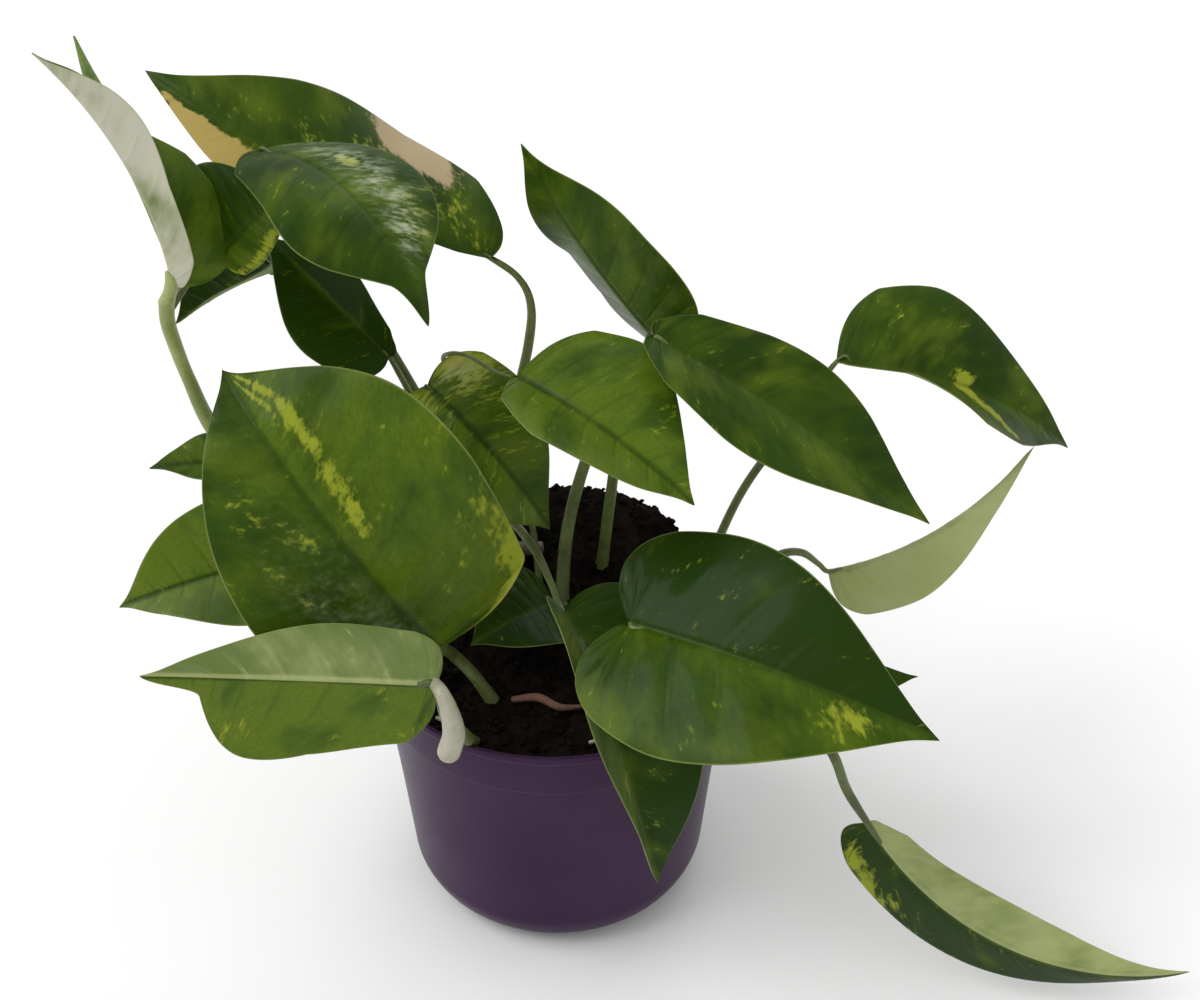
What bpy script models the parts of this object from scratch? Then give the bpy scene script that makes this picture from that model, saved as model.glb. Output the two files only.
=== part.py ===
"""Potted pothos plant: a plastic nursery pot, a raised plug of compost, vine stems,
leaf stalks and heart-shaped leaves, each a closed body of its own.

Millimetres in the tables, metres in the meshes. +Z is up, the pot stands on z = 0 with its
axis on the Z axis, and the plant's front is -Y.
"""
import math
import bpy
import bmesh
import numpy as np
from mathutils import Vector

for old in list(bpy.data.objects):
    bpy.data.objects.remove(old, do_unlink=True)

MM = 0.001

# ---- driving dimensions, millimetres ----
RIM_R = 60.0            # outer radius of the rim
POT_H = 96.0            # height of the pot
BAND_H = 16.0           # height of the rim band
BASE_R = 52.0           # outer radius just above the rounded foot
FOOT_R = 38.0           # radius of the flat underside
WALL = 1.3              # wall of the pot
GAP = 0.4               # clear gap between touching pieces
HOLE_COUNT = 8          # drain holes
HOLE_R = 3.0            # drain hole radius
HOLE_RING_R = 27.0      # drain holes sit on this ring
SOIL_FRONT = 92.0       # compost level at the front
SOIL_RISE = 30.0        # how much higher the plug stands at the back
SOIL_R = 57.5           # radius of the plug where it stands above the rim
LEAF_T = 0.9            # blade thickness
LEAF_ROWS = 20          # rows of faces along each half margin
LEAF_COLS = 4           # faces from midrib to margin
TUBE_STEP = 12          # rings along a stalk

# ---- materials: name -> colour, roughness ----
SLOTS = {
    "pot_plastic": ((0.10, 0.05, 0.14, 1.0), 0.45),
    "compost": ((0.016, 0.009, 0.008, 1.0), 0.95),
    "leaf_green": ((0.09, 0.20, 0.03, 1.0), 0.35),
    "leaf_pale": ((0.38, 0.48, 0.22, 1.0), 0.45),
    "stalk_green": ((0.24, 0.34, 0.10, 1.0), 0.45),
    "stem_green": ((0.30, 0.38, 0.12, 1.0), 0.5),
    "shoot_pale": ((0.62, 0.62, 0.45, 1.0), 0.5),
    "root_brown": ((0.22, 0.10, 0.06, 1.0), 0.8),
}


def material(slot):
    """The material of one slot, made once."""
    found = bpy.data.materials.get(slot)
    if found:
        return found
    made = bpy.data.materials.new(slot)
    made.use_nodes = True
    colour, rough = SLOTS[slot]
    bsdf = made.node_tree.nodes["Principled BSDF"]
    bsdf.inputs["Base Color"].default_value = colour
    bsdf.inputs["Roughness"].default_value = rough
    bsdf.inputs["Metallic"].default_value = 0.0
    made.diffuse_color = colour
    return made


def add_object(name, bm, slot):
    """Weld, turn the faces outwards and link one closed body."""
    bmesh.ops.remove_doubles(bm, verts=bm.verts, dist=0.00002)
    bmesh.ops.recalc_face_normals(bm, faces=bm.faces)
    mesh = bpy.data.meshes.new(name)
    bm.to_mesh(mesh)
    bm.free()
    ob = bpy.data.objects.new(name, mesh)
    bpy.context.scene.collection.objects.link(ob)
    mesh.materials.append(material(slot))
    return ob


def smooth_path(points, count):
    """Catmull-Rom curve through the points, evenly stepped in its parameter."""
    p = np.array(points, float)
    p = np.vstack([2 * p[0] - p[1], p, 2 * p[-1] - p[-2]])
    spans = len(p) - 3
    u = np.linspace(0, spans - 1e-9, count)
    i = u.astype(int)
    t = (u - i)[:, None]
    a, b, c, d = p[i], p[i + 1], p[i + 2], p[i + 3]
    return 0.5 * (2 * b + (c - a) * t + (2 * a - 5 * b + 4 * c - d) * t ** 2
                  + (-a + 3 * b - 3 * c + d) * t ** 3)


# ---- pot ----
def make_pot():
    """Turned wall with a rim band, rounded foot and drain holes."""
    profile = [
        (RIM_R - WALL + 0.3, POT_H), (RIM_R - 0.3, POT_H), (RIM_R, POT_H - 0.5),
        (RIM_R - 1.2, POT_H - BAND_H), (RIM_R - 2.2, POT_H - BAND_H - 0.8),
        (BASE_R + 2.4, 45.0), (BASE_R, 18.0), (BASE_R - 0.7, 12.0), (BASE_R - 3.0, 6.5),
        (BASE_R - 6.6, 2.6), (BASE_R - 10.5, 0.6), (FOOT_R, 0.0), (0.0, 0.0),
    ]
    inner = [
        (0.0, WALL), (FOOT_R - 0.3, WALL), (BASE_R - 11.0, WALL + 0.7), (BASE_R - 7.5, 3.9),
        (BASE_R - 4.2, 7.3), (BASE_R - 2.0, 12.4), (BASE_R - WALL, 18.1),
        (BASE_R + 2.4 - WALL, 45.0), (RIM_R - 2.2 - WALL, POT_H - BAND_H - 0.4),
        (RIM_R - 1.3 - WALL, POT_H - BAND_H + 0.5), (RIM_R - WALL, POT_H - 0.4),
    ]
    ring = profile + inner
    mesh = bpy.data.meshes.new("pot")
    verts = [(r * MM, 0.0, z * MM) for r, z in ring]
    edges = [(i, i + 1) for i in range(len(ring) - 1)] + [(len(ring) - 1, 0)]
    mesh.from_pydata(verts, edges, [])
    pot = bpy.data.objects.new("pot", mesh)
    bpy.context.scene.collection.objects.link(pot)
    mesh.materials.append(material("pot_plastic"))
    screw = pot.modifiers.new("turn", "SCREW")
    screw.axis = "Z"
    screw.angle = math.tau
    screw.steps = 60
    screw.render_steps = 60
    screw.use_merge_vertices = True
    screw.merge_threshold = 0.00002
    screw.use_normal_calculate = True
    bm = bmesh.new()
    for k in range(HOLE_COUNT):
        a = math.tau * (k + 0.5) / HOLE_COUNT
        made = bmesh.ops.create_cone(bm, cap_ends=True, segments=16, radius1=HOLE_R * MM,
                                     radius2=HOLE_R * MM, depth=6 * MM)
        move = Vector((HOLE_RING_R * math.cos(a) * MM, HOLE_RING_R * math.sin(a) * MM, 0.0))
        bmesh.ops.translate(bm, verts=made["verts"], vec=move)
    cutter = add_object("drain_cutter", bm, "pot_plastic")
    cutter.hide_render = True
    cutter.display_type = "WIRE"
    cut = pot.modifiers.new("drain", "BOOLEAN")
    cut.operation = "DIFFERENCE"
    cut.solver = "EXACT"
    cut.object = cutter
    return pot


# ---- compost ----
def ease(t):
    """Smooth step from 0 to 1."""
    t = np.clip(t, 0.0, 1.0)
    return t * t * (3 - 2 * t)


def soil_height(x, y):
    """Level of the compost at x, y: low in front, standing proud of the rim at the back."""
    r = np.hypot(x, y)
    rise = SOIL_RISE * ease((y + 28.0) / 80.0) + 3.0 * x / 60.0 * ease((y + 20.0) / 60.0)
    edge = 1.0 - ease((r - 50.0) / 7.5) ** 2
    return SOIL_FRONT + rise * edge


def crumbs(x, y):
    """Small lumps of the compost surface, up to about half a millimetre."""
    return 0.35 * np.sin(0.9 * x + 1.7 * np.sin(0.31 * y)) * np.cos(0.8 * y + 1.3 * np.sin(0.4 * x))


def make_soil():
    """Plug of compost: crumbly top, sides a clear gap inside the pot wall."""
    turns = 48
    radii = [0.0, 6.0, 12.0, 18.0, 24.0, 29.0, 34.0, 38.0, 42.0, 46.0, 49.0, 51.5, 53.5, 55.3, 56.6]
    a = np.linspace(0, math.tau, turns, endpoint=False)
    rings = []
    for r in radii[1:]:
        x = r * np.cos(a)
        y = r * np.sin(a)
        rings.append(np.stack([x, y, soil_height(x, y) + crumbs(x, y)], 1))
    side = [(56.9, 88.0), (56.3, 81.5), (55.6, 78.0), (52.6, 45.0), (50.2, 18.5),
            (49.4, 12.8), (47.2, 7.9), (44.0, 4.6), (40.6, 2.6), (37.0, 1.9)]
    for r, z in side:
        rings.append(np.stack([r * np.cos(a), r * np.sin(a), np.full(turns, z)], 1))
    bm = bmesh.new()
    top = bm.verts.new((0.0, 0.0, float(soil_height(0.0, 0.0)) * MM))
    rows = [[bm.verts.new(Vector(p) * MM) for p in ring] for ring in rings]
    foot = bm.verts.new((0.0, 0.0, 1.9 * MM))
    for k in range(turns):
        n = (k + 1) % turns
        bm.faces.new((top, rows[0][k], rows[0][n]))
        for i in range(len(rows) - 1):
            bm.faces.new((rows[i][k], rows[i + 1][k], rows[i + 1][n], rows[i][n]))
        bm.faces.new((foot, rows[-1][n], rows[-1][k]))
    return add_object("soil", bm, "compost")


# ---- leaves ----
# Half margin of a blade: x along the midrib (0 = stalk, 1 = tip), y out from it (0.5 = half width).
MARGIN = [
    (0.0, 0.0), (-0.045, 0.045), (-0.10, 0.13), (-0.125, 0.235), (-0.10, 0.335), (-0.03, 0.42),
    (0.07, 0.475), (0.19, 0.50), (0.32, 0.48), (0.46, 0.425), (0.60, 0.335), (0.73, 0.225),
    (0.84, 0.12), (0.92, 0.05), (1.0, 0.0),
]


def unit(v):
    v = np.asarray(v, float)
    return v / np.linalg.norm(v)


def turn_about(v, axis, angle):
    """Rodrigues rotation of v about a unit axis."""
    c = math.cos(angle)
    s = math.sin(angle)
    return v * c + np.cross(axis, v) * s + axis * float(v @ axis) * (1 - c)


def leaf_map(leaf):
    """Map from the flat blade (x 0..1 along it, y in widths across it) to space, in mm.

    The midrib is an arc from base to tip: droop bends it towards the underside, side bends it
    in the blade's own plane. Each half leaves the midrib at its fold angle and curls by its
    cup angle on the way to the margin; twist turns the cross-section towards the tip.
    """
    base = np.array(leaf["base"], float)
    tip = np.array(leaf["tip"], float)
    width = leaf["width"]
    chord = float(np.linalg.norm(tip - base))
    ex = (tip - base) / chord
    up = np.array(leaf["face"], float)
    up = unit(up - (up @ ex) * ex)
    ey = np.cross(up, ex)
    u = np.linspace(-0.3, 1.0, 200)
    pitch = -math.radians(leaf["droop"]) * (u - 0.5)
    yaw = -math.radians(leaf["side"]) * (u - 0.5)
    d = np.stack([np.cos(pitch) * np.cos(yaw), np.cos(pitch) * np.sin(yaw), np.sin(pitch)], 1)
    c = np.cumsum((d[1:] + d[:-1]) / 2 * (u[1] - u[0]), 0)
    c = np.vstack([[0.0, 0.0, 0.0], c])
    c = c - np.array([np.interp(0.0, u, c[:, j]) for j in range(3)])
    end = c[-1]
    size = float(np.linalg.norm(end))
    axis = np.cross(end / size, [1.0, 0.0, 0.0])
    sine = float(np.linalg.norm(axis))
    lateral = np.array([0.0, 1.0, 0.0])
    if sine > 1e-9:
        axis = axis / sine
        angle = math.asin(min(1.0, sine))
        c = np.array([turn_about(q, axis, angle) for q in c])
        d = np.array([turn_about(q, axis, angle) for q in d])
        lateral = turn_about(lateral, axis, angle)
    c = c * chord / size
    frame = np.stack([ex, ey, up], 1)
    fold = np.radians(leaf["fold"])
    cup = np.radians(leaf["cup"])
    twist = math.radians(leaf["twist"])

    def place(x, y):
        x = np.asarray(x, float)
        y = np.asarray(y, float) * width
        q = np.stack([np.interp(x, u, c[:, j]) for j in range(3)], -1)
        t = np.stack([np.interp(x, u, d[:, j]) for j in range(3)], -1)
        t = t / np.linalg.norm(t, axis=-1, keepdims=True)
        b = lateral - (t @ lateral)[..., None] * t
        b = b / np.linalg.norm(b, axis=-1, keepdims=True)
        n = np.cross(t, b)
        a = (twist * x)[..., None]
        b2 = b * np.cos(a) + n * np.sin(a)
        n2 = n * np.cos(a) - b * np.sin(a)
        w = np.abs(y)
        left = y >= 0
        a0 = np.where(left, fold[0], fold[1])
        k = np.where(left, cup[0], cup[1]) / (0.5 * width)
        k = np.where(np.abs(k) < 1e-6, 1e-6, k)
        out = (np.sin(a0 + k * w) - np.sin(a0)) / k
        lift = (np.cos(a0) - np.cos(a0 + k * w)) / k
        p = q + b2 * (np.sign(y) * out)[..., None] + n2 * lift[..., None]
        return base + p @ frame.T

    return place


def leaf_sheet(leaf, rows, cols):
    """The two halves of the blade as grids of points, and how many rows start at the stalk."""
    edge = smooth_path(MARGIN, rows + 1)
    ex = edge[:, 0]
    ex = np.where(ex < 0, ex * leaf["lobe"], np.clip(ex, 0, 1) ** leaf["full"])
    ey = edge[:, 1]
    mx = np.clip(ex, 0, 1) ** 1.5
    v = np.linspace(0, 1, cols + 1)
    x = mx[:, None] + (ex - mx)[:, None] * v
    y = ey[:, None] * v
    place = leaf_map(leaf)
    return place(x, y * leaf["wl"]), place(x, -y * leaf["wr"]), int(np.sum(mx < 0.002))


def make_leaf(name, leaf):
    """One blade: two halves sharing the midrib, then thickened about the mid-surface."""
    left, right, fan = leaf_sheet(leaf, LEAF_ROWS, LEAF_COLS)
    bm = bmesh.new()
    stalk_point = bm.verts.new(Vector(left[0][0]) * MM)
    tip_point = bm.verts.new(Vector(left[-1][-1]) * MM)
    last = LEAF_ROWS
    rib = [stalk_point if i < fan else bm.verts.new(Vector(left[i][0]) * MM) for i in range(last)]
    for grid, flip in ((left, False), (right, True)):
        rows = [[stalk_point] * (LEAF_COLS + 1)]
        for i in range(1, last):
            rows.append([rib[i]] + [bm.verts.new(Vector(p) * MM) for p in grid[i][1:]])
        rows.append([tip_point] * (LEAF_COLS + 1))
        for i in range(last):
            for j in range(LEAF_COLS):
                ring = [rows[i][j], rows[i + 1][j], rows[i + 1][j + 1], rows[i][j + 1]]
                face = [p for k, p in enumerate(ring) if p is not ring[k - 1]]
                if len(face) < 3:
                    continue
                if flip:
                    face.reverse()
                bm.faces.new(face)
    mesh = bpy.data.meshes.new(name)
    bm.to_mesh(mesh)
    bm.free()
    ob = bpy.data.objects.new(name, mesh)
    bpy.context.scene.collection.objects.link(ob)
    mesh.materials.append(material(leaf["slot"]))
    thick = ob.modifiers.new("thickness", "SOLIDIFY")
    thick.thickness = LEAF_T * MM
    thick.offset = 0.0
    thick.use_quality_normals = True
    return ob


def make_tube(name, points, radii, slot, blunt=False):
    """Round stalk through the points; its radius runs through the list of radii."""
    path = smooth_path(points, TUBE_STEP)
    s = np.linspace(0, 1, TUBE_STEP)
    radius = np.interp(s, np.linspace(0, 1, len(radii)), radii)
    if blunt:
        extra = unit(path[-1] - path[-2])
        tail = [path[-1] + extra * radii[-1] * math.sin(a) for a in (0.5, 0.95, 1.3)]
        path = np.vstack([path, tail])
        radius = np.concatenate([radius, [radii[-1] * math.cos(a) for a in (0.5, 0.95, 1.3)]])
    curve = bpy.data.curves.new(name + "_line", "CURVE")
    curve.dimensions = "3D"
    curve.bevel_depth = MM
    curve.bevel_resolution = 2
    curve.use_fill_caps = True
    spline = curve.splines.new("POLY")
    spline.points.add(len(path) - 1)
    for point, place, r in zip(spline.points, path, radius):
        point.co = (place[0] * MM, place[1] * MM, place[2] * MM, 1.0)
        point.radius = float(r)
    line = bpy.data.objects.new(name + "_line", curve)
    bpy.context.scene.collection.objects.link(line)
    bpy.context.view_layer.update()
    shape = bpy.data.meshes.new_from_object(line.evaluated_get(bpy.context.evaluated_depsgraph_get()))
    bm = bmesh.new()
    bm.from_mesh(shape)
    bpy.data.objects.remove(line, do_unlink=True)
    bpy.data.meshes.remove(shape)
    return add_object(name, bm, slot)


def blade(base, tip, face, width, droop=20, fold=(10, 10), cup=(0, 0), twist=0, side=0,
          lobe=1.0, full=1.0, wl=1.0, wr=1.0, slot="leaf_green"):
    """One row of the leaf table: base, tip and facing in mm, angles in degrees."""
    return {"base": base, "tip": tip, "face": face, "width": width, "droop": droop,
            "fold": fold, "cup": cup, "twist": twist, "side": side, "lobe": lobe,
            "full": full, "wl": wl, "wr": wr, "slot": slot}


def stalk_end(leaf, before, radius):
    """Where a stalk stops under its blade: a clear gap below the base point."""
    base = np.array(leaf["base"], float)
    place = leaf_map(leaf)
    p0, px, pl, pr = place([0.0, 0.06, 0.03, 0.03], [0.0, 0.0, 0.05, -0.05])
    normal = unit(np.cross(px - p0, pl - pr))
    run = unit(base - np.array(before, float))
    spread = math.sqrt(max(0.0, 1 - float(run @ normal) ** 2))
    sink = LEAF_T / 2 + GAP + 0.5 + radius * spread
    return tuple(base - normal * sink)


def branch_start(stem, share, towards, stem_radius, radius):
    """Where a side stalk leaves a stem: a clear gap outside the stem's skin."""
    path = smooth_path(stem, 60)
    k = int(share * 59)
    here = path[k]
    along = unit(path[min(k + 1, 59)] - path[max(k - 1, 0)])
    out = np.array(towards, float) - here
    out = unit(out - (out @ along) * along)
    run = unit(np.array(towards, float) - here)
    reach = stem_radius + GAP + 0.2 + radius * abs(float(run @ along))
    return tuple(here + out * reach)


def foot(x, y, towards, radius):
    """Where a stalk stands on the compost: a clear gap above the highest crumb under it."""
    level = max(float(soil_height(x + dx, y + dy)) for dx in (-radius, 0, radius)
                for dy in (-radius, 0, radius))
    run = unit(np.array(towards, float) - np.array([x, y, level]))
    tilt = math.sqrt(max(0.0, 1 - float(run[2]) ** 2))
    return (x, y, level + 0.4 + GAP + radius * tilt)


# Leaf table: base, tip (mm), direction the upper face looks, greatest width (mm).
LEAVES = {
    # left-hand vine: top leaf folded and seen from its back
    "leaf_01": blade((-108, 0, 228), (-134, -6, 298), (0.9, 0.35, 0.2), 46, droop=30,
                     fold=(55, 48), cup=(-20, -20), wl=0.85, wr=0.85, full=0.62, lobe=0.3,
                     slot="leaf_pale"),
    "leaf_02": blade((-86, 28, 248), (-105, 22, 226), (-0.3, -0.5, 0.85), 56, droop=35,
                     fold=(15, 0), cup=(-10, -25), lobe=0.7, wl=0.8),
    "leaf_03": blade((-92, 76, 196), (-118, 34, 198), (0.1, 0.05, 1.0), 46, droop=20,
                     fold=(45, 45), cup=(-10, -10), lobe=0.6),
    # high leaves over the left half
    "leaf_04": blade((-18, 45, 214), (-125, 74, 266), (0.05, -0.5, 0.85), 74, droop=25,
                     fold=(-38, -8), cup=(-10, -22), side=26, lobe=0.3, full=1.05, wl=0.72),
    "leaf_05": blade((-84, 32, 256), (-34, -20, 224), (0.35, -0.4, 0.85), 62, droop=75,
                     fold=(0, 5), cup=(-15, -30), side=10, full=0.8, lobe=0.7),
    "leaf_06": blade((-49, 8, 199), (-87, 34, 228), (-0.1, -0.6, 0.8), 46, droop=10,
                     fold=(15, 45), lobe=0.5, wl=0.88),
    # centre left
    "leaf_07": blade((-32, 8, 183), (-1, 2, 138), (0.2, -0.7, 0.7), 52, droop=50,
                     fold=(10, 15), cup=(-10, -20), wl=0.85),
    "leaf_08": blade((-36, -34, 119), (-98, 0, 200), (-0.05, -0.85, 0.5), 88, droop=85,
                     fold=(14, 4), cup=(-15, 0), full=0.74, lobe=0.35, wl=0.82, wr=1.0),
    # low leaf over the left of the rim, its back outwards
    "leaf_09": blade((-34, -76, 134), (-116, -79, 139), (0.1, 0.7, -0.3), 60, droop=-8,
                     fold=(48, 30), cup=(5, -10), lobe=0.2, full=0.72, wr=1.1,
                     slot="leaf_pale"),
    # broad leaf over the right of the rim
    "leaf_10": blade((22, -50, 140), (107, -92, 129), (0.1, -0.6, 0.8), 72, droop=30,
                     fold=(10, 8), cup=(-15, -15), lobe=0.75),
    # small leaves far left
    "leaf_11": blade((-104, 32, 147), (-133, 29, 147), (-0.1, -0.3, 0.9), 32, droop=15, lobe=0.4),
    "leaf_12": blade((-89, -5, 133), (-136, -20, 127), (-0.1, -0.5, 0.85), 52, droop=25,
                     full=0.85),
    # centre and right crown
    "leaf_13": blade((-10, -5, 199), (41, -40, 175), (0.15, -0.55, 0.85), 62, droop=35,
                     fold=(5, 40), cup=(-20, -10), lobe=0.25, full=0.9),
    "leaf_14": blade((29, 32, 196), (-8, 62, 245), (-0.85, -0.3, 0.45), 52, droop=20,
                     fold=(48, 5)),
    "leaf_15": blade((31, 0, 209), (117, -16, 150), (0.25, -0.55, 0.8), 52, droop=25,
                     fold=(10, 20), cup=(-15, -15), lobe=0.2),
    "leaf_16": blade((93, 34, 181), (173, 30, 148), (0.15, -0.5, 0.8), 56, droop=60,
                     fold=(8, 38), cup=(-15, 0), lobe=0.3),
    # trailing stem on the right
    "leaf_17": blade((92, 10, 113), (158, 20, 155), (0.2, 0.8, -0.5), 42, droop=-15,
                     fold=(10, 75), side=42, slot="leaf_pale"),
    "leaf_18": blade((88, -12, 80), (121, -12, 85), (0.1, -0.3, 0.8), 18),
    "leaf_19": blade((96, -66, 72), (204, -80, 15), (-0.2, 0.9, -0.3), 42, droop=-10,
                     fold=(45, 45), side=62, lobe=0.1, slot="leaf_pale"),
    # leaf hanging over the front of the rim and a low one above the compost
    "leaf_20": blade((3, -29, 129), (30, -78, 60), (0.1, -0.7, 0.5), 60, droop=90,
                     fold=(0, 60), cup=(-5, 0), lobe=0.5, full=0.85, wr=0.35),
    "leaf_21": blade((-1, -4, 113), (-27, -24, 112), (0.1, -0.2, 0.9), 38, droop=30, lobe=0.5),
}

STEM_L = [(-42, 6, 112), (-66, 14, 126), (-94, 16, 146), (-108, 12, 168), (-111, 8, 192),
          (-114, 3, 212), (-112, 1, 220)]
STEM_R = [(40, 6, 113), (54, -10, 116), (64, -30, 116), (70, -46, 112), (76, -56, 107)]
STEM_L_R = 2.6
STEM_R_R = 2.1

# Stalks: leaf, radius at foot and at blade, then where it starts and the points it passes.
# A start is ("soil", x, y), ("left", share) or ("right", share).
STALKS = {
    "stalk_01": ("leaf_01", 1.9, 1.7, ("stem_top",), []),
    "stalk_02": ("leaf_02", 1.4, 1.2, ("left", 0.94), [(-104, 18, 221), (-91, 31, 237)]),
    "stalk_03": ("leaf_03", 1.3, 1.1, ("left", 0.80), [(-102, 32, 186), (-93, 62, 186)]),
    "stalk_04": ("leaf_04", 2.0, 1.6, ("soil", -13, 36),
                 [(-14, 38, 150), (-7, 42, 184), (-6, 44, 198), (-10, 45, 207)]),
    "stalk_05": ("leaf_05", 1.8, 1.4, ("soil", -25, 30),
                 [(-37, 38, 150), (-54, 39, 190), (-71, 32, 230)]),
    "stalk_06": ("leaf_06", 1.7, 1.4, ("soil", -22, 10), [(-33, 14, 150), (-44, 12, 184)]),
    "stalk_07": ("leaf_07", 1.6, 1.3, ("soil", -12, 16), [(-21, 19, 148), (-30, 15, 172)]),
    "stalk_08": ("leaf_08", 2.2, 1.9, ("soil", -19, -27), [(-26, -25, 100), (-33, -22, 107)]),
    "stalk_09": ("leaf_09", 2.2, 2.0, ("soil", -24, -47),
                 [(-20, -60, 112), (-20, -74, 124), (-26, -82, 132)]),
    "stalk_10": ("leaf_10", 2.1, 1.8, ("soil", 36, -2), [(40, -14, 128), (32, -36, 139)]),
    "stalk_11": ("leaf_11", 1.2, 1.0, ("left", 0.44), [(-97, 29, 143)]),
    "stalk_12": ("leaf_12", 1.5, 1.3, ("left", 0.30), [(-82, 8, 128), (-86, 0, 129)]),
    "stalk_13": ("leaf_13", 1.1, 0.9, ("soil", -4, 10),
                 [(-10, 24, 140), (-30, 28, 176), (-36, 20, 200), (-31, 6, 210), (-21, -3, 205)]),
    "stalk_14": ("leaf_14", 2.3, 1.8, ("soil", 2, 8),
                 [(8, 16, 130), (19, 25, 158), (31, 34, 178)]),
    "stalk_15": ("leaf_15", 2.0, 1.7, ("soil", 16, 20), [(19, 18, 140), (22, 14, 168), (28, 6, 195)]),
    "stalk_16": ("leaf_16", 1.8, 1.5, ("soil", 50, 22), [(62, 26, 132), (75, 31, 152)]),
    "stalk_17": ("leaf_17", 1.6, 1.3, ("right", 0.30),
                 [(68, 0, 123), (75, 3, 126), (82, 6, 124), (88, 8, 118)]),
    "stalk_18": ("leaf_18", 1.0, 0.8, ("right", 0.60), [(74, -24, 94), (82, -17, 77)]),
    "stalk_19": ("leaf_19", 1.7, 1.5, ("stem_end",), [(84, -62, 97), (89, -64, 84)]),
    "stalk_20": ("leaf_20", 1.6, 1.4, ("soil", -19, 12),
                 [(-17, 9, 126), (-13, 1, 141), (-6, -12, 140), (-1.5, -18.5, 133), (1, -23, 127.5)]),
    "stalk_21": ("leaf_21", 1.2, 1.0, ("soil", 8, -6), [(6, -4, 110)]),
}

make_pot()
make_soil()
for leaf_name, leaf_row in LEAVES.items():
    make_leaf(leaf_name, leaf_row)

make_tube("stem_left", [foot(-42, 6, STEM_L[1], STEM_L_R)] + STEM_L[1:], (2.9, STEM_L_R), "stem_green")
make_tube("stem_right", [foot(40, 6, STEM_R[1], STEM_R_R)] + STEM_R[1:], (2.4, STEM_R_R), "stem_green")
for stalk_name, (leaf_name, r0, r1, start, middle) in STALKS.items():
    target = LEAVES[leaf_name]
    toward = middle[0] if middle else target["base"]
    if start[0] == "soil":
        first = foot(start[1], start[2], toward, r0)
    elif start[0] == "left":
        first = branch_start(STEM_L, start[1], toward, STEM_L_R + 0.3, r0)
    elif start[0] == "right":
        first = branch_start(STEM_R, start[1], toward, STEM_R_R + 0.3, r0)
    elif start[0] == "stem_top":
        first = tuple(np.array(STEM_L[-1]) + unit(np.array(target["base"], float) - STEM_L[-1]) * 1.4)
    else:
        first = tuple(np.array(STEM_R[-1]) + unit(np.array(middle[0], float) - STEM_R[-1]) * 1.4)
    last = stalk_end(target, middle[-1] if middle else first, r1)
    make_tube(stalk_name, [first] + list(middle) + [last], (r0, r1), "stalk_green")

# pale young shoot hooked over the rim, rolled new leaf, cut stub and surface roots
make_tube("shoot", [(-31, -86, 131), (-27, -86, 125), (-27, -86, 118), (-30, -85, 111)],
          (2.6, 3.3, 3.6, 3.4), "shoot_pale", blunt=True)
make_tube("new_leaf", [(-116, 12, 234), (-122, 14, 256), (-126, 12, 280), (-126, 7, 298)],
          (1.4, 2.2, 1.6, 0.4), "leaf_green")
make_tube("cut_stub", [(-24, 22, 117), (-14, 22, 116.5), (-4, 23, 116)], (2.4, 2.6, 2.2), "shoot_pale", blunt=True)
make_tube("root_main", [(-14, -31, 95.2), (-6, -31, 95.8), (1, -35, 95.0), (9, -35, 95.2)],
          (1.0, 1.4, 1.2, 0.6), "root_brown")
make_tube("root_small_a", [(-38, -38, 94.4), (-34, -41, 94.8), (-31, -40, 94.4)], (0.6, 0.7, 0.4), "shoot_pale")
make_tube("root_small_b", [(10, -51, 94.2), (16, -49, 94.6), (22, -46, 94.4)], (0.6, 0.6, 0.4), "shoot_pale")
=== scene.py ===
"""Looks of the potted pothos plant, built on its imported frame.

Every piece is a numpy surface: blades are two-parameter sheets, stalks are tubes along a path,
pot and compost are turned profiles. Millimetres in the tables, metres in the meshes.
"""
import math
import bpy
import bmesh
import numpy as np
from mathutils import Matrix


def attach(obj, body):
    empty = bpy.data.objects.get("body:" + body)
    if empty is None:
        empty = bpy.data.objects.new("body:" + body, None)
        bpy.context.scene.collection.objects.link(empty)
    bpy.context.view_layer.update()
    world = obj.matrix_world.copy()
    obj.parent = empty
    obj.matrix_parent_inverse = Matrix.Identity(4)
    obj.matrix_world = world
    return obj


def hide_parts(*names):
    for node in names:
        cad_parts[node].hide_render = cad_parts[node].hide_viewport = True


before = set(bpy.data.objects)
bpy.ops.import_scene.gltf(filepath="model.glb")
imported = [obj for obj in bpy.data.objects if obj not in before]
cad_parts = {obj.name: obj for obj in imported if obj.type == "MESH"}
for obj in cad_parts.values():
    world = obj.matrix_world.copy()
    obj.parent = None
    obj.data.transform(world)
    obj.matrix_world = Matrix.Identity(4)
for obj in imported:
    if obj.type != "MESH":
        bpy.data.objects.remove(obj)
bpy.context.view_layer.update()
MM = 0.001

# ---- driving dimensions, millimetres; the pot and compost have the frame's sizes ----
RIM_R, POT_H, BAND_H = 60.0, 96.0, 16.0     # rim radius, height, rim band
BASE_R, FOOT_R, WALL = 52.0, 38.0, 1.3      # radius above the rounded foot, flat underside, wall
HOLE_COUNT, HOLE_R, HOLE_RING_R = 8, 3.0, 27.0
RING_IN, RING_OUT = 20.0, 34.0              # the part of the floor that holds the drain holes
SOIL_FRONT, SOIL_RISE = 92.0, 30.0          # compost level in front, extra height at the back
SOIL_TILT = 3.0                             # extra height at the right of the back
LEAF_T, EDGE_ROUND = 0.45, 0.12             # blade (half the frame's), how far its edge bulges
VEINS = 11.0                                # side veins counted along half a margin, lobe to tip
LEAF_ROWS = 112                             # rows of faces from stalk to tip
LEAF_COLS = 18                              # columns between a half's rib and its margin
POT_STEPS = 192                             # faces round the pot
SOIL_STEPS = 420                            # faces round the compost
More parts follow.
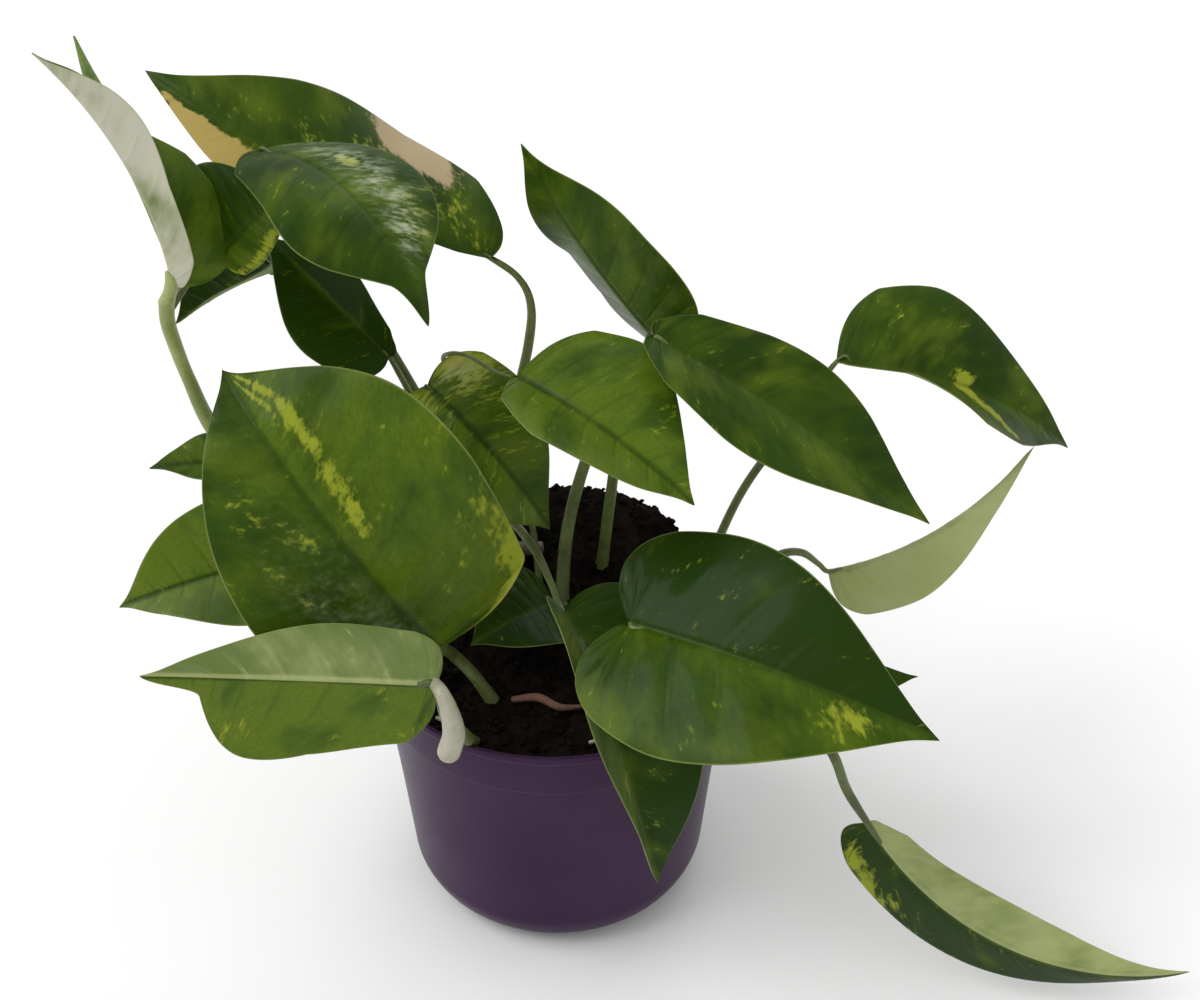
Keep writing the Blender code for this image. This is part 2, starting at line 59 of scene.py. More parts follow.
CRUMBS, CRUMB_SEED = 900, 7                 # loose crumbs, seed of their draws
LUMPS = ((7, 0.9), (3.1, 0.7), (1.5, 0.55), (0.8, 0.3))    # compost lumps: spacing, height
STALK_ROOT, STEM_ROOT = 4.0, 5.0            # how deep stalks and stems go into the compost
STALK_UNDER = 1.1                           # a stalk's line runs this far below its blade
WELD = 0.000004                             # points closer than this are one, metres

# ---- blade relief, for a blade 60 mm wide ----
RELIEF_WIDTH = 60.0
MARGIN_WAVES = 1.6                          # waves along a margin
SWELL = 0.3                                 # rise between the side veins
VEIN_CUT = 0.12                             # depth of a side vein above
MIDRIB_CUT = 0.5                            # depth of the midrib groove above
RIB_RISE = 1.0                              # height of the midrib below
VEIN_RISE = 0.14                            # height of a side vein below

# ---- stage, metres and degrees ----
FLOOR_HALF, FLOOR_DROP = 40.0, 0.0002       # half its side, how far below the pot's foot
FLOOR_WHITE, FLOOR_ROUGH = (0.93, 0.93, 0.93), 0.9
WORLD_STRENGTH = 0.72
LAMPS = {                                   # name: direction it comes from, spread, power
    "key": ((-0.75, -0.12, 1.0), 40, 1.45),
    "back": ((0.35, 0.9, 0.8), 40, 0.35),
}
CAMERA_AT = (0.0, -0.4385, 0.4448)
CAMERA_DOWN, CAMERA_RIGHT = 33.85, 1.95     # tilt below level, turn to the right
LENS, SENSOR = 50.0, 36.0

# ---- colours ----
DARK_GREEN, MID_GREEN = (0.014, 0.035, 0.001), (0.050, 0.092, 0.003)
# the darker midrib green is painted shade in the midrib's groove on the upper face
LIGHT_GREEN, MIDRIB_GREEN = (0.095, 0.155, 0.012), (0.030, 0.058, 0.004)
WARM_GREEN, COOL_GREEN = (0.115, 0.160, 0.008), (0.012, 0.040, 0.003)
VEIN_GREEN, TINY_VEIN_GREEN = (0.025, 0.050, 0.002), (0.018, 0.040, 0.001)
LIME, PALE_LIME, FLECK = (0.27, 0.31, 0.022), (0.50, 0.46, 0.10), (0.27, 0.31, 0.05)
CREAM, PINK = (0.44, 0.33, 0.10), (0.44, 0.34, 0.20)
BACK_DARK, BACK_LIGHT, BACK_VEIN = (0.115, 0.165, 0.035), (0.33, 0.38, 0.135), (0.30, 0.34, 0.15)
BACK_LIME, BACK_CREAM, BACK_MIDRIB = (0.42, 0.46, 0.16), (0.58, 0.50, 0.26), (0.36, 0.40, 0.17)
# the grey-lavender colour paints glare on a blade and the pale green-white paints highlight streaks; both
# are painted light, not the leaf's own colour
SILVER, FROST, MARGIN_GREEN = (0.54, 0.52, 0.42), (0.46, 0.50, 0.36), (0.28, 0.33, 0.10)
STALK_TONES = ((0.055, 0.075, 0.014), (0.13, 0.165, 0.045))
STEM_TONES = ((0.20, 0.25, 0.06), (0.36, 0.40, 0.15))
SHOOT_TONES = ((0.30, 0.29, 0.20), (0.44, 0.42, 0.33))
ROOT_TONES = ((0.10, 0.045, 0.028), (0.20, 0.10, 0.065))
STUB_TONES = ((0.07, 0.065, 0.04), (0.15, 0.12, 0.08))
ROLLED_TONES = ((0.08, 0.15, 0.02), (0.20, 0.30, 0.06))
POT_TONES = ((0.034, 0.012, 0.042), (0.043, 0.017, 0.053))
SOIL_TONES = ((0.0035, 0.0022, 0.0018), (0.014, 0.0085, 0.006))
BROWN_GRAIN, PALE_GRAIN = (0.035, 0.017, 0.011), (0.09, 0.055, 0.04)


# ---- shader building ----
class Val:
    """A shader value. Arithmetic on it adds math nodes to its material."""

    def __init__(self, paint, socket):
        self.paint = paint
        self.socket = socket

    def _math(self, op, a, b=None):
        """A math node on one or two values."""
        return self.paint.make("ShaderNodeMath", {"operation": op}, [a, b])

    def __add__(self, o):
        return self._math("ADD", self, o)

    def __radd__(self, o):
        return self._math("ADD", o, self)

    def __sub__(self, o):
        return self._math("SUBTRACT", self, o)

    def __rsub__(self, o):
        return self._math("SUBTRACT", o, self)

    def __mul__(self, o):
        return self._math("MULTIPLY", self, o)

    def __rmul__(self, o):
        return self._math("MULTIPLY", o, self)

    def abs(self):
        """Its size without the sign."""
        return self._math("ABSOLUTE", self)

    def fract(self):
        """What is left above the whole number below it."""
        return self._math("FRACT", self)

    def ramp(self, low, high):
        """0 below low, 1 above high, smooth between; high < low turns it round."""
        if high < low:
            return 1.0 - self.ramp(high, low)
        return self.paint.make("ShaderNodeMapRange", {"interpolation_type": "SMOOTHSTEP"},
                               {"Value": self, "From Min": low, "From Max": high}, "Result")


class Paint:
    """One material with a Principled BSDF and the few node kinds the plant needs."""

    def __init__(self, name):
        self.mat = bpy.data.materials.new(name)
        self.mat.use_nodes = True
        self.nodes = self.mat.node_tree.nodes
        self.links = self.mat.node_tree.links
        self.bsdf = self.nodes["Principled BSDF"]

    def make(self, kind, settings=None, values=(), out=0):
        """Add a node, apply its settings, set or link its inputs and return one output."""
        node = self.nodes.new(kind)
        for key, value in (settings or {}).items():
            setattr(node, key, value)
        pairs = values.items() if isinstance(values, dict) else enumerate(values)
        for key, value in pairs:
            if value is not None:
                self.put(node.inputs[key], value)
        return Val(self, node.outputs[out])

    def put(self, socket, value):
        """Link a shader value to the socket, or set its constant."""
        if isinstance(value, Val):
            self.links.new(value.socket, socket)
        elif isinstance(value, tuple) and len(value) == 3 and socket.type == "RGBA":
            socket.default_value = (*value, 1.0)
        else:
            socket.default_value = value

    def attribute(self, name):
        """A value stored on every point of the piece."""
        return self.make("ShaderNodeAttribute", {"attribute_name": name}, (), "Fac")

    def place(self):
        """Position on the piece, in metres."""
        return self.make("ShaderNodeTexCoord", None, (), "Object")

    def vector(self, x, y, z):
        """Three values as one place."""
        return self.make("ShaderNodeCombineXYZ", None, [x, y, z])

    def noise(self, where, scale, detail, rough):
        """Soft random clouds between 0 and 1; scale is about how many fit in a metre."""
        return self.make("ShaderNodeTexNoise", {"noise_dimensions": "3D"},
                         {"Vector": where, "Scale": scale, "Detail": detail, "Roughness": rough},
                         "Fac")

    def cells(self, where, scale):
        """Distance to the nearest of scattered points."""
        return self.make("ShaderNodeTexVoronoi", {"feature": "F1"},
                         {"Vector": where, "Scale": scale}, "Distance")

    def mix(self, share, a, b):
        """Colour a turning into colour b as share goes from 0 to 1."""
        node = self.nodes.new("ShaderNodeMix")
        node.data_type = "RGBA"
        for key, value in ((0, share), (6, a), (7, b)):
            self.put(node.inputs[key], value)
        return Val(self, node.outputs[2])

    def bump(self, height, strength, distance):
        """Surface direction tilted by a height."""
        return self.make("ShaderNodeBump", None,
                         {"Strength": strength, "Distance": distance, "Height": height}, "Normal")

    def surface(self, **inputs):
        """Set or link the Principled sockets, named with underscores for spaces."""
        for key, value in inputs.items():
            self.put(self.bsdf.inputs[key.replace("_", " ")], value)
        return self.mat


# ---- meshes from arrays ----
def unit(v):
    """The vector at length 1."""
    v = np.asarray(v, float)
    return v / np.linalg.norm(v)


def smooth_path(points, count):
    """Catmull-Rom curve through the points, evenly stepped in its parameter."""
    p = np.array(points, float)
    p = np.vstack([2 * p[0] - p[1], p, 2 * p[-1] - p[-2]])
    spans = len(p) - 3
    u = np.linspace(0, spans - 1e-9, count)
    i = u.astype(int)
    t = (u - i)[:, None]
    a, b, c, d = p[i], p[i + 1], p[i + 2], p[i + 3]
    return 0.5 * (2 * b + (c - a) * t + (2 * a - 5 * b + 4 * c - d) * t ** 2
                  + (-a + 3 * b - 3 * c + d) * t ** 3)


def ease(t):
    """Smooth step from 0 to 1."""
    t = np.clip(t, 0.0, 1.0)
    return t * t * (3 - 2 * t)


def lattice(x, y, seed):
    """Smooth random lumps between -1 and 1: hashed values on a unit grid, blended between."""
    xi = np.floor(x)
    yi = np.floor(y)
    fx = ease(x - xi)
    fy = ease(y - yi)

    def corner(a, b):
        """Hash of a grid corner, -1 to 1."""
        h = np.sin(a * 127.1 + b * 311.7 + seed * 74.7) * 43758.5453
        return 2 * (h - np.floor(h)) - 1

    low = corner(xi, yi) * (1 - fx) + corner(xi + 1, yi) * fx
    high = corner(xi, yi + 1) * (1 - fx) + corner(xi + 1, yi + 1) * fx
    return low * (1 - fy) + high * fy


def grid_faces(rows, cols, wrap):
    """Quads of a rows x cols grid of points; wrap joins the last column to the first."""
    across = cols if wrap else cols - 1
    i, j = np.meshgrid(np.arange(rows - 1), np.arange(across), indexing="ij")
    n = (j + 1) % cols
    quads = np.stack([i * cols + j, i * cols + n, (i + 1) * cols + n, (i + 1) * cols + j], -1)
    return quads.reshape(-1, 4)


def add_object(name, data):
    """An object for the mesh, lamp or camera data, linked to the scene."""
    thing = bpy.data.objects.new(name, data)
    bpy.context.scene.collection.objects.link(thing)
    return thing


def add_mesh(name, grids, material, replaces=(), values=None):
    """One closed piece from grids of points in mm, welded, turned outwards and tied to the frame.

    grids is a list of (points [rows, cols, 3], wrap). values are per-point shader values.
    """
    verts = []
    quads = []
    count = 0
    for points, wrap in grids:
        rows, cols = points.shape[:2]
        quads.append(grid_faces(rows, cols, wrap) + count)
        verts.append(points.reshape(-1, 3))
        count += rows * cols
    verts = np.concatenate(verts) * MM
    quads = np.concatenate(quads)
    mesh = bpy.data.meshes.new(name)
    mesh.from_pydata(verts.tolist(), [], quads.tolist())
    for key, array in (values or {}).items():
        layer = mesh.attributes.new(key, "FLOAT", "POINT")
        layer.data.foreach_set("value", np.asarray(array, np.float32).ravel())
    bm = bmesh.new()
    bm.from_mesh(mesh)
    bmesh.ops.remove_doubles(bm, verts=bm.verts, dist=WELD)
    bmesh.ops.recalc_face_normals(bm, faces=bm.faces)
    bm.to_mesh(mesh)
    bm.free()
    mesh.polygons.foreach_set("use_smooth", np.ones(len(mesh.polygons), bool))
    mesh.materials.append(material)
    piece = add_object(name, mesh)
    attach(piece, "root")
    if replaces:
        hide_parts(*replaces)


def tube(points, radii, rings=70, sides=20, groove=0.0, blunt=0.0, knots=(), up=(0, 0, 1)):
    """Grid of a round tube along a smooth path.

    Its radius runs through the radii list; each knot (share, height, width) swells it like a
    bell; groove flattens the side that faces up; both ends close over a rounded cap.
    """
    path = smooth_path(points, rings)
    length = np.concatenate([[0.0], np.cumsum(np.linalg.norm(np.diff(path, axis=0), axis=1))])
    share = length / length[-1]
    radius = np.interp(share, np.linspace(0, 1, len(radii)), radii)
    for at, height, width in knots:
        radius = radius * (1 + height * np.exp(-((share - at) * length[-1] / width) ** 2))
    # angles of the rings of the rounded caps
    cap = np.array([0.25, 0.6, 0.95, 1.25, math.pi / 2])
    tail = max(blunt, 0.25)
    along = unit(path[-1] - path[-2])
    back = unit(path[0] - path[1])
    path = np.vstack([path[0] + back * radius[0] * tail * np.sin(cap[::-1])[:, None], path,
                      path[-1] + along * radius[-1] * tail * np.sin(cap)[:, None]])
    radius = np.concatenate([radius[0] * np.cos(cap[::-1]), radius, radius[-1] * np.cos(cap)])
    radius[0] = 0.0
    radius[-1] = 0.0
    step = np.gradient(path, axis=0)
    step = step / np.linalg.norm(step, axis=1, keepdims=True)
    side = np.cross(np.array(up, float), step[0])
    if np.linalg.norm(side) < 0.1:
        side = np.cross(np.array([0.0, 1.0, 0.0]), step[0])
    frames = []
    for t in step:
        side = unit(side - (side @ t) * t)
        frames.append((side, np.cross(t, side)))
    a = np.linspace(0, math.tau, sides, endpoint=False)
    shape = 1 - groove * np.exp(-((np.abs(a - math.pi / 2)) / 0.55) ** 2)
    b = np.array([f[0] for f in frames])[:, None, :]
    n = np.array([f[1] for f in frames])[:, None, :]
    reach = (radius[:, None] * shape)[..., None]
    return path[:, None, :] + reach * (b * np.cos(a)[None, :, None] + n * np.sin(a)[None, :, None])


# ---- blades ----
# Half margin of a blade: x along the midrib (0 = stalk, 1 = tip), y out from it (0.5 = half width).
MARGIN = [
    (0.0, 0.0), (-0.045, 0.045), (-0.10, 0.13), (-0.125, 0.235), (-0.10, 0.335), (-0.03, 0.42),
    (0.07, 0.475), (0.19, 0.50), (0.32, 0.48), (0.46, 0.425), (0.60, 0.335), (0.73, 0.225),
    (0.84, 0.12), (0.92, 0.05), (1.0, 0.0),
]


def turn_about(v, axis, angle):
    """Rodrigues rotation of v about a unit axis."""
    c = math.cos(angle)
    s = math.sin(angle)
    return v * c + np.cross(axis, v) * s + axis * float(v @ axis) * (1 - c)


def varied(value, x):
    """A number, or several spaced evenly from stalk to tip, read at x."""
    value = np.atleast_1d(np.array(value, float))
    return np.interp(x, np.linspace(0, 1, len(value)), value)


def leaf_map(leaf):
    """Map from the flat blade (x 0..1 along it, y in widths across it) to space, in mm.

    The midrib is an arc from base to tip: droop bends it towards the underside, side bends it
    in the blade's own plane. Each half leaves the midrib at its fold angle and curls by its
    cup angle on the way to the margin.
    """
    base = np.array(leaf["base"], float)
    tip = np.array(leaf["tip"], float)
    width = leaf["width"]
    chord = float(np.linalg.norm(tip - base))
    ex = (tip - base) / chord
    up = np.array(leaf["face"], float)
    up = unit(up - (up @ ex) * ex)
    ey = np.cross(up, ex)
    u = np.linspace(-0.3, 1.0, 400)
    pitch = -math.radians(leaf["droop"]) * (u - 0.5)
    yaw = -math.radians(leaf["side"]) * (u - 0.5)
    d = np.stack([np.cos(pitch) * np.cos(yaw), np.cos(pitch) * np.sin(yaw), np.sin(pitch)], 1)
    c = np.cumsum((d[1:] + d[:-1]) / 2 * (u[1] - u[0]), 0)
    c = np.vstack([[0.0, 0.0, 0.0], c])
    c = c - np.array([np.interp(0.0, u, c[:, j]) for j in range(3)])
    end = c[-1]
    size = float(np.linalg.norm(end))
    axis = np.cross(end / size, [1.0, 0.0, 0.0])
    sine = float(np.linalg.norm(axis))
    lateral = np.array([0.0, 1.0, 0.0])
    if sine > 1e-9:
        axis = axis / sine
        angle = math.asin(min(1.0, sine))
        c = np.array([turn_about(q, axis, angle) for q in c])
        d = np.array([turn_about(q, axis, angle) for q in d])
        lateral = turn_about(lateral, axis, angle)
    c = c * chord / size
    frame_axes = np.stack([ex, ey, up], 1)
    fold = leaf["fold"]
    cup = np.radians(leaf["cup"])

    def place(x, y, sign):
        """Point at x, y; sign (+1 left, -1 right) says which half a midrib point belongs to."""
        y = y * width
        q = np.stack([np.interp(x, u, c[:, j]) for j in range(3)], -1)
        t = np.stack([np.interp(x, u, d[:, j]) for j in range(3)], -1)
        t = t / np.linalg.norm(t, axis=-1, keepdims=True)
        b = lateral - (t @ lateral)[..., None] * t
        b = b / np.linalg.norm(b, axis=-1, keepdims=True)
        n = np.cross(t, b)
        w = np.abs(y)
        a0 = np.radians(np.where(sign > 0, varied(fold[0], x), varied(fold[1], x)))
        k = np.where(sign > 0, cup[0], cup[1]) / (0.5 * width)
        k = np.where(np.abs(k) < 1e-6, 1e-6, k)
        # the crease at the midrib is rounded over about a millimetre and a half
        soft = w * w / (w + 1.5)
        out = (np.sin(a0 + k * soft) - np.sin(a0)) / k + (w - soft)
        lift = (np.cos(a0) - np.cos(a0 + k * soft)) / k
        p = q + b * (sign * out)[..., None] + n * lift[..., None]
        return base + p @ frame_axes.T

    return place


def half_margin(edge, leaf, k):
    """Places along the midrib of one half's margin.

    lobe scales the part behind the stalk, full below 1 moves the widest part towards the tip,
    tail leaves a narrow drip tip.
    """
    x = np.clip(edge[:, 0], 0, 1)
    push = 0.16 * (1 - leaf["lobe"][k]) * (2 * edge[:, 1]) ** 3 * (1 - x)
    front = x + 2.2 * (1 - leaf["full"][k]) * x * (1 - x) ** 1.2
    front = front * (1 - leaf["tail"][k] * (1 - ease((x - 0.88) / 0.12)))
    return np.where(edge[:, 0] < 0, edge[:, 0] * leaf["lobe"][k], front) + push


def along_line(row, reach, points):
    """Distance of each place on a half blade (row, reach) to a line drawn through points.

    A row counts double, because a blade is about twice as long as its half is wide.
    """
    here = np.stack([2.0 * row, reach], -1)
    best = np.full(reach.shape, 9.0)
    for p, q in zip(points, points[1:]):
        p = np.array([2.0 * p[0], p[1]])
        q = np.array([2.0 * q[0], q[1]])
        t = np.clip((here - p) @ (q - p) / float((q - p) @ (q - p)), 0, 1)
        best = np.minimum(best, np.linalg.norm(here - p - t[..., None] * (q - p), axis=-1))
    return best


def leaf_body(leaf, rows, span):
    """Closed grid of one blade: upper face from left margin to right margin, rim, lower face back.

    On each half a row runs from the midrib to the margin like a side vein. The upper face has
    a groove along the midrib and swells between the veins; the lower face carries the rib and
    the veins; the margin waves. Returns the points and the shader values of every point.
    """
    edge = smooth_path(MARGIN, rows + 1)
    margins = [half_margin(edge, leaf, k) for k in (0, 1)]
    ey = edge[:, 1]
    mx = np.clip((margins[0] + margins[1]) / 2, 0, 1) ** 1.5
    share = np.linspace(0, 1, rows + 1)
    place = leaf_map(leaf)
    upper = []
    for sign, side, ex in ((1, leaf["wl"], margins[0]), (-1, leaf["wr"], margins[1])):
        v = np.array(span)
        x = mx[:, None] + (ex - mx)[:, None] * v ** 1.2
        y = sign * (varied(side, share) * ey)[:, None] * v
        s = np.full(x.shape, float(sign))
        here = place(x, y, s)
        # small steps along and across, for the direction the surface faces
        e = 0.004
        ahead = place(x + e, y, s) - place(x - e, y, s)
        across = place(x, y + e * (v == 0) * sign + e * (v > 0), s) - place(x, y - e * (v > 0), s)
        across = across * np.where(v == 0, sign, 1)[None, :, None]
        normal = np.cross(ahead, across)
        normal = normal / np.maximum(np.linalg.norm(normal, axis=-1, keepdims=True), 1e-12)
        upper.append((here, normal, x, y * leaf["width"], np.broadcast_to(v * sign, x.shape)))
    middle = upper[0][1][:, :1] + upper[1][1][:, :1]
    middle = middle / np.linalg.norm(middle, axis=-1, keepdims=True)
    upper[0][1][:, :1] = middle
    upper[1][1][:, :1] = middle

    def join(k):
        """Both halves' value k side by side, from the left margin to the right one."""
        return np.concatenate([upper[0][k][:, ::-1], upper[1][k][:, 1:]], 1)

    here, normal, x, y, v = (join(k) for k in range(5))
    phase = np.broadcast_to((share * VEINS)[:, None], x.shape)
    reach = np.abs(v)
    wide = np.abs(y)
    near = np.abs(phase - np.round(phase))
    belly = np.sin(math.pi * np.clip(reach, 0, 1)) ** 0.7
    size = leaf["width"] / RELIEF_WIDTH
    beat = math.tau * (MARGIN_WAVES * x + leaf["phase"]) + np.where(y > 0, 1.1, 0.0)
    wave = size * reach ** 2 * np.sin(beat) * ease((1 - x) / 0.25)
    swell = SWELL * size * (0.5 - 0.5 * np.cos(math.tau * phase)) * belly * ease(wide / 10.0)
    swell = swell * (0.3 + 0.7 * ease((share[:, None] - 0.2) / 0.3))
    swell = swell - VEIN_CUT * size * np.exp(-(near / 0.05) ** 2) * belly
    groove = MIDRIB_CUT * size * np.exp(-(wide / (0.9 * size)) ** 2) * (1 - 0.7 * np.clip(x, 0, 1))
    rib = RIB_RISE * size * np.exp(-(wide / size) ** 2) * (1 - 0.85 * np.clip(x, 0, 1))
    rib = rib + VEIN_RISE * size * np.exp(-(near / 0.06) ** 2) * (1 - reach) * ease(wide / 2.0)
    thick = LEAF_T * (0.45 + 0.55 * ease((1 - reach) / 0.04))
    top = here + normal * (wave + swell - groove + thick / 2)[..., None]
    low = here + normal * (wave + swell - thick / 2 - rib)[..., None]

    def rim(j, inner):
        """Middle line of the edge beside column j, pushed outwards from column inner."""
        mid = (top[:, j] + low[:, j]) / 2
        away = top[:, j] - top[:, inner]
        away = away / np.maximum(np.linalg.norm(away, axis=-1, keepdims=True), 1e-9)
        apart = np.linalg.norm(top[:, j] - top[:, inner], axis=-1) > 1e-4
        return (mid + away * EDGE_ROUND * apart[:, None])[:, None]

    body = np.concatenate([top, rim(-1, -3), low[:, ::-1], rim(0, 2)], 1)

    def carry(a):
        """The upper face's value a repeated round the whole body."""
        a = np.broadcast_to(a, x.shape)
        return np.concatenate([a, a[:, -1:], a[:, ::-1], a[:, :1]], 1)

    back = np.concatenate([np.zeros(x.shape), np.full((rows + 1, 1), 0.5), np.ones(x.shape),
                           np.full((rows + 1, 1), 0.5)], 1)
    values = {"phase": carry(phase), "across": carry(y), "reach": carry(reach), "back": back}
    # each half's tone is partly its own lighter or darker green and partly painted light and shade: raised
    # where a half is lit, lowered where it lies in shade
    tone = np.where(y > 0, leaf["tone"][0], leaf["tone"][1]) * ease(wide / 2.0)
    values["tone"] = carry(tone)
    # a half whose back faces down takes the upper face's darker green instead of the pale back colour:
    # painted shade
    gloss = np.where(y > 0, leaf["gloss"][0], leaf["gloss"][1]) * (reach > 0.01)
    values["back"] = back * (1 - carry(gloss))
    # a greying of each half that paints the glare seen on it
    values["silver"] = carry(np.where(y > 0, leaf["silver"][0], leaf["silver"][1]))
    # the last patch kind paints white highlight streaks where a glossy, puckered blade catches the light
    for kind in ("lime", "cream", "pink", "frost"):
        total = np.zeros(x.shape)
        for side, r0, dr, v0, dv, amount in leaf[kind]:
            part = np.exp(-((share[:, None] - r0) / dr) ** 2 - ((reach - v0) / dv) ** 2)
            total = total + amount * part * ((y * side > 0) | (reach < 0.001))
        values[kind] = carry(total)
    stripes = np.zeros(x.shape)
    rows_wide = np.broadcast_to(share[:, None], x.shape)
    for side, points, half_wide, amount in leaf["stripes"]:
        part = amount * np.exp(-(along_line(rows_wide, reach, points) / half_wide) ** 2)
        stripes = np.maximum(stripes, part * ((y * side > 0) | (reach < 0.001)))
    values["lime"] = values["lime"] + carry(stripes)
    values["fleck"] = carry(np.full(x.shape, leaf["fleck"]))
    values["seed"] = carry(np.full(x.shape, leaf["seed"]))
    return body, values


# ---- materials ----
def leaf_paint():
    """Blade: glossy green above, paler and duller below, streaked along its side veins.

    Lime streaks and flecks are noise stretched along the veins, let through where the blade's
    own lime value is high. Cream and pink patches, painted lavender-grey glare, painted white
    highlight streaks and the fine pale margin lie on top. The upper face gets painted shade along
    the midrib's groove, each half's tone is partly its own green and partly painted light and shade,
    and a half of the back that faces down takes the upper face's green as painted shade. across
    runs from the midrib in mm, phase counts the side veins.
    """
    p = Paint("leaf")
    phase = p.attribute("phase")
    across = p.attribute("across")
    reach = p.attribute("reach")
    back = p.attribute("back").ramp(0.3, 0.7)
    tone = p.attribute("tone")
    seed = p.attribute("seed")
    where = p.place()
    streak = p.noise(p.vector(phase * 2.6 + seed, across * 0.085, seed), 1.0, 4.0, 0.6)
    fine = p.noise(p.vector(phase * 9.0 + seed, across * 0.35, seed), 1.0, 3.0, 0.6)
    cloud = p.noise(where, 38.0, 3.0, 0.5)
    grain = p.noise(where, 420.0, 2.0, 0.6)
    near = (phase - 0.5).fract() - 0.5
    side_vein = near.abs().ramp(0.10, 0.0) * reach.ramp(1.0, 0.25)
    tiny_vein = p.noise(p.vector(phase * 14.0, across * 0.9, seed), 1.0, 2.0, 0.5).ramp(0.45, 0.62)
    midrib = across.abs().ramp(1.15, 0.35)

    # the per-half tone lightens or darkens a whole half: partly the leaf's own green, partly painted light
    # and shade
    green = p.mix((cloud * 0.9 + streak * 0.45 - 0.32 + tone * 0.5).ramp(0.1, 0.62),
                  DARK_GREEN, MID_GREEN)
    green = p.mix((cloud * 0.4 + fine * 0.4 - 0.2 + tone * 0.6).ramp(0.2, 0.75), green, LIGHT_GREEN)
    warm = p.noise(p.vector(phase * 0.9 + seed, across * 0.05, seed), 1.0, 2.0, 0.5)
    green = p.mix((warm + tone * 0.12).ramp(0.5, 0.75) * 0.5, green, WARM_GREEN)
    green = p.mix((1.0 - warm + reach * 0.1).ramp(0.52, 0.75) * 0.55, green, COOL_GREEN)
    green = p.mix(side_vein * 0.22, green, VEIN_GREEN)
    green = p.mix(tiny_vein * 0.14, green, TINY_VEIN_GREEN)
    lime_in = streak * 2.0 + fine * 1.6 + p.attribute("lime") * 0.9 + p.attribute("fleck") - 2.12
    lime = lime_in.ramp(0.0, 0.55)
    yellow = p.mix(p.attribute("lime").ramp(0.9, 1.7), LIME, PALE_LIME)
    green = p.mix(lime * 0.9, green, yellow)
    flake = (fine + p.attribute("fleck") * 0.8).ramp(0.77, 0.84)
    green = p.mix(flake * 0.6, green, FLECK)
    cream = (p.attribute("cream") + (streak - 0.5) * 0.9 + (fine - 0.5) * 0.35).ramp(0.42, 0.60)
    green = p.mix(cream * 0.95, green, CREAM)
    pink = (p.attribute("pink") + (streak - 0.5) * 0.9 + (fine - 0.5) * 0.3).ramp(0.42, 0.62)
    green = p.mix(pink * 0.9, green, PINK)
    # painted shade: the upper face darkens along the midrib's groove
    green = p.mix(midrib * 0.35, green, MIDRIB_GREEN)

    # the back takes the same per-half tone, partly painted light and shade
    under = p.mix((cloud * 0.9 + streak * 0.5 - 0.35 + tone * 0.5).ramp(0.1, 0.65),
                  BACK_DARK, BACK_LIGHT)
    under = p.mix(side_vein * 0.2, under, BACK_VEIN)
    under = p.mix(lime * 0.6, under, BACK_LIME)
    under = p.mix(cream * 0.9, under, BACK_CREAM)
    under = p.mix(midrib * 0.55, under, BACK_MIDRIB)
    # where a half's back was given the upper face's green, that darker colour is painted shade
    colour = p.mix(back, green, under)
    # painted glare: the blade turns lavender-grey in cloudy streaks
    silver = p.attribute("silver")
    colour = p.mix(silver * (cloud + streak * 0.3).ramp(0.35, 0.8), colour, SILVER)
    # painted highlights: streaky pale patches where the blade catches the light
    frost = p.attribute("frost") * (streak * 0.7 + fine * 0.7).ramp(0.60, 0.85)
    colour = p.mix(frost, colour, FROST)
    edge = reach.ramp(0.985, 0.998)
    colour = p.mix(edge * 0.45, colour, MARGIN_GREEN)

    height = grain * 0.12 + fine * 0.35 + side_vein * -0.5 + cloud * 0.4
    return p.surface(Base_Color=colour, Roughness=0.34 + back * 0.16 + grain * 0.10,
                     Coat_Weight=0.07 - back * 0.04, Coat_Roughness=0.12, Specular_IOR_Level=0.06,
                     Normal=p.bump(height, 0.45, 0.0007))


def stalk_paint(name, tones, rough=0.42):
    """Skin of a stalk, stem, shoot or root: soft clouds and fine spots between two tones."""
    p = Paint(name)
    where = p.place()
    soft = p.noise(where, 60.0, 3.0, 0.5)
    spots = p.noise(where, 700.0, 2.0, 0.5)
    colour = p.mix((soft * 0.8 + spots * 0.3).ramp(0.35, 0.75), *tones)
    return p.surface(Base_Color=colour, Roughness=rough, Specular_IOR_Level=0.4,
                     Normal=p.bump(soft * 0.5 + spots * 0.4, 0.3, 0.0004))


def pot_paint():
    """Satin moulded plastic, almost black-purple, with a very fine moulding grain."""
    p = Paint("pot_plastic_look")
    where = p.place()
    grain = p.noise(where, 900.0, 3.0, 0.6)
    broad = p.noise(where, 25.0, 2.0, 0.5)
    colour = p.mix(broad.ramp(0.3, 0.7), *POT_TONES)
    return p.surface(Base_Color=colour, Roughness=0.30 + grain * 0.10, Specular_IOR_Level=0.10,
                     Normal=p.bump(grain * 0.3 + broad, 0.25, 0.0004))


def soil_paint():
    """Damp peat compost: almost black, a few browner and paler grains, rough all over."""
    p = Paint("compost_look")
    where = p.place()
    grain = p.noise(where, 480.0, 5.0, 0.7)
    clod = p.noise(where, 130.0, 4.0, 0.6)
    bits = p.cells(where, 330.0)
    colour = p.mix(clod.ramp(0.35, 0.72), *SOIL_TONES)
    colour = p.mix(grain.ramp(0.62, 0.74) * 0.7, colour, BROWN_GRAIN)
    colour = p.mix(bits.ramp(0.16, 0.08) * grain.ramp(0.5, 0.6) * 0.4, colour, PALE_GRAIN)
    return p.surface(Base_Color=colour, Roughness=0.92, Specular_IOR_Level=0.08,
                     Normal=p.bump(grain + clod * 1.5, 0.9, 0.0012))


